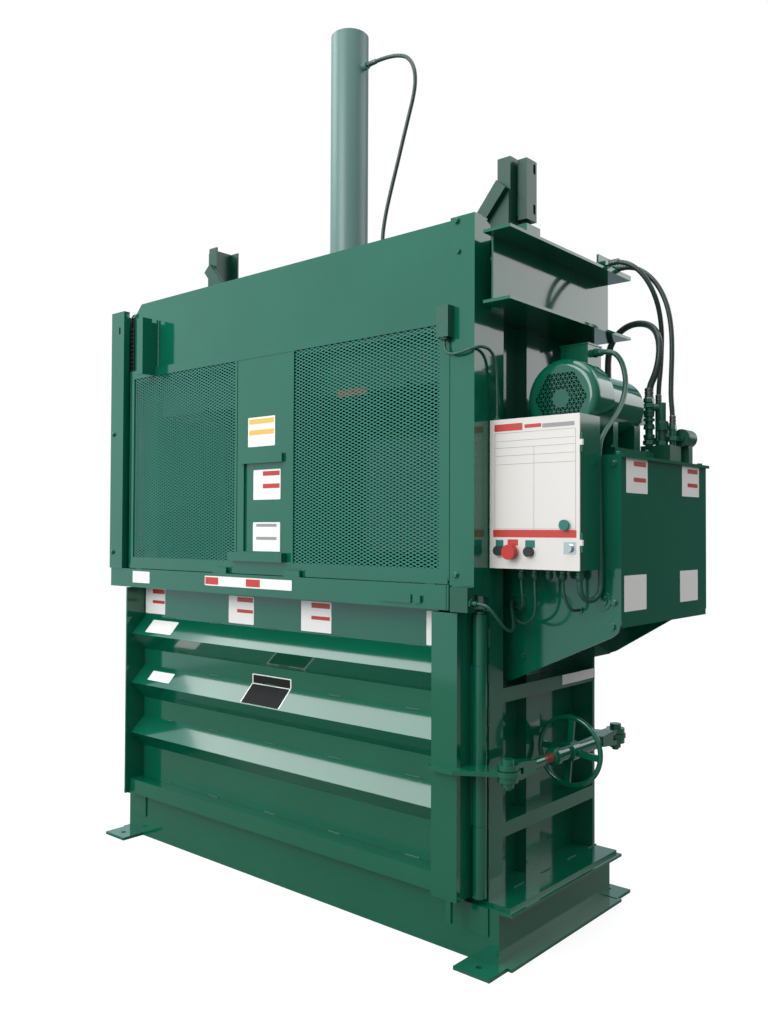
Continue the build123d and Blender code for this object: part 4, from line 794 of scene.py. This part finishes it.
# %% [markdown]
# ## The thread on the front yoke's screw
# The screw slides into the handwheel's barrel with hardly any room, so its thread isn't cut into
# the mesh. The yoke's finish draws it: past the shank's end the paint gives way to rust, and a wave
# along the screw raises the ridges.

# %% A finish with a rusty thread past the shank
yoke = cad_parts["front_yoke"]
screw_length, thread_pitch, thread_depth = 0.148, 0.003, 0.001
screw_start = max(corner.co.y for corner in yoke.data.vertices) - screw_length
yoke_enamel = green_enamel.copy()
yoke_enamel.name = "yoke_enamel"
yoke_tree = yoke_enamel.node_tree
yoke_shader = yoke_tree.nodes["Principled BSDF"]
places = yoke_tree.nodes.new("ShaderNodeTexCoord")
axes = yoke_tree.nodes.new("ShaderNodeSeparateXYZ")
yoke_tree.links.new(places.outputs["Object"], axes.inputs["Vector"])
threaded = calculate(yoke_tree, "GREATER_THAN", axes.outputs["Y"], screw_start)
rusting = yoke_tree.nodes.new("ShaderNodeMix")
rusting.data_type = "RGBA"
yoke_tree.links.new(threaded, rusting.inputs["Factor"])
yoke_tree.links.new(yoke_shader.inputs["Base Color"].links[0].from_socket, rusting.inputs["A"])
rusting.inputs["B"].default_value = (0.20, 0.045, 0.026, 1)
yoke_tree.links.new(rusting.outputs["Result"], yoke_shader.inputs["Base Color"])
ridges = yoke_tree.nodes.new("ShaderNodeTexWave")
ridges.bands_direction = "Y"
ridges.inputs["Scale"].default_value = math.pi / (10 * thread_pitch)
yoke_tree.links.new(places.outputs["Object"], ridges.inputs["Vector"])
raised = calculate(yoke_tree, "MULTIPLY", ridges.outputs["Fac"], threaded)
cut = yoke_tree.nodes.new("ShaderNodeBump")
cut.inputs["Strength"].default_value = 0.8
cut.inputs["Distance"].default_value = thread_depth
yoke_tree.links.new(raised, cut.inputs["Height"])
yoke_tree.links.new(yoke_shader.inputs["Normal"].links[0].from_socket, cut.inputs["Normal"])
yoke_tree.links.new(cut.outputs["Normal"], yoke_shader.inputs["Normal"])
for place in yoke.material_slots:
    place.material = yoke_enamel
print("screw starts at", round(screw_start, 4))

# %% [markdown]
# ## Weld beads
# The ribs and the foot are stitched to the door sheet with short fillet welds. A bead is drawn out
# ring by ring with a swell at every second step, as the puddle of a hand weld leaves it.

# %% One bead
swell, neck, ripple, ripples = 0.0034, 0.0027, 0.0042, 14
bead_rings = [(0.0016, 0.0)]
for step in range(1, ripples + 1):
    bead_rings.append((swell if step % 2 else neck, step * ripple))
bead_rings.append((0.0014, 0.064))
bead = turned("bead", bead_rings, 8)
print("rings in a bead", len(bead_rings))

# %% Stitch welds on the door and the frame
away = (0, 1, 0)
seams_z, stitches_x = (1.004, 0.778, 0.543, 0.264), (-0.800, -0.480, -0.120, 0.240, 0.620)
door_beads = [stand(bead, (x, -0.3545, z), right) for z in seams_z for x in stitches_x]
gather("door_welds", door_beads, weld_green, "door")
post_z, side_y = (0.230, 0.420, 0.560, 0.760, 0.900, 1.020), (-0.200, -0.020, 0.160, 0.320)
base_x = (-0.900, -0.500, -0.100, 0.300, 0.700)
frame_beads = [stand(bead, (0.9695, -0.3475, z), up) for z in post_z]
frame_beads += [stand(bead, (0.972, y, 0.1915), away) for y in side_y]
frame_beads += [stand(bead, (x, -0.3785, 0.1815), right) for x in base_x]
gather("frame_welds", frame_beads, weld_green, "frame")
drop(bead)
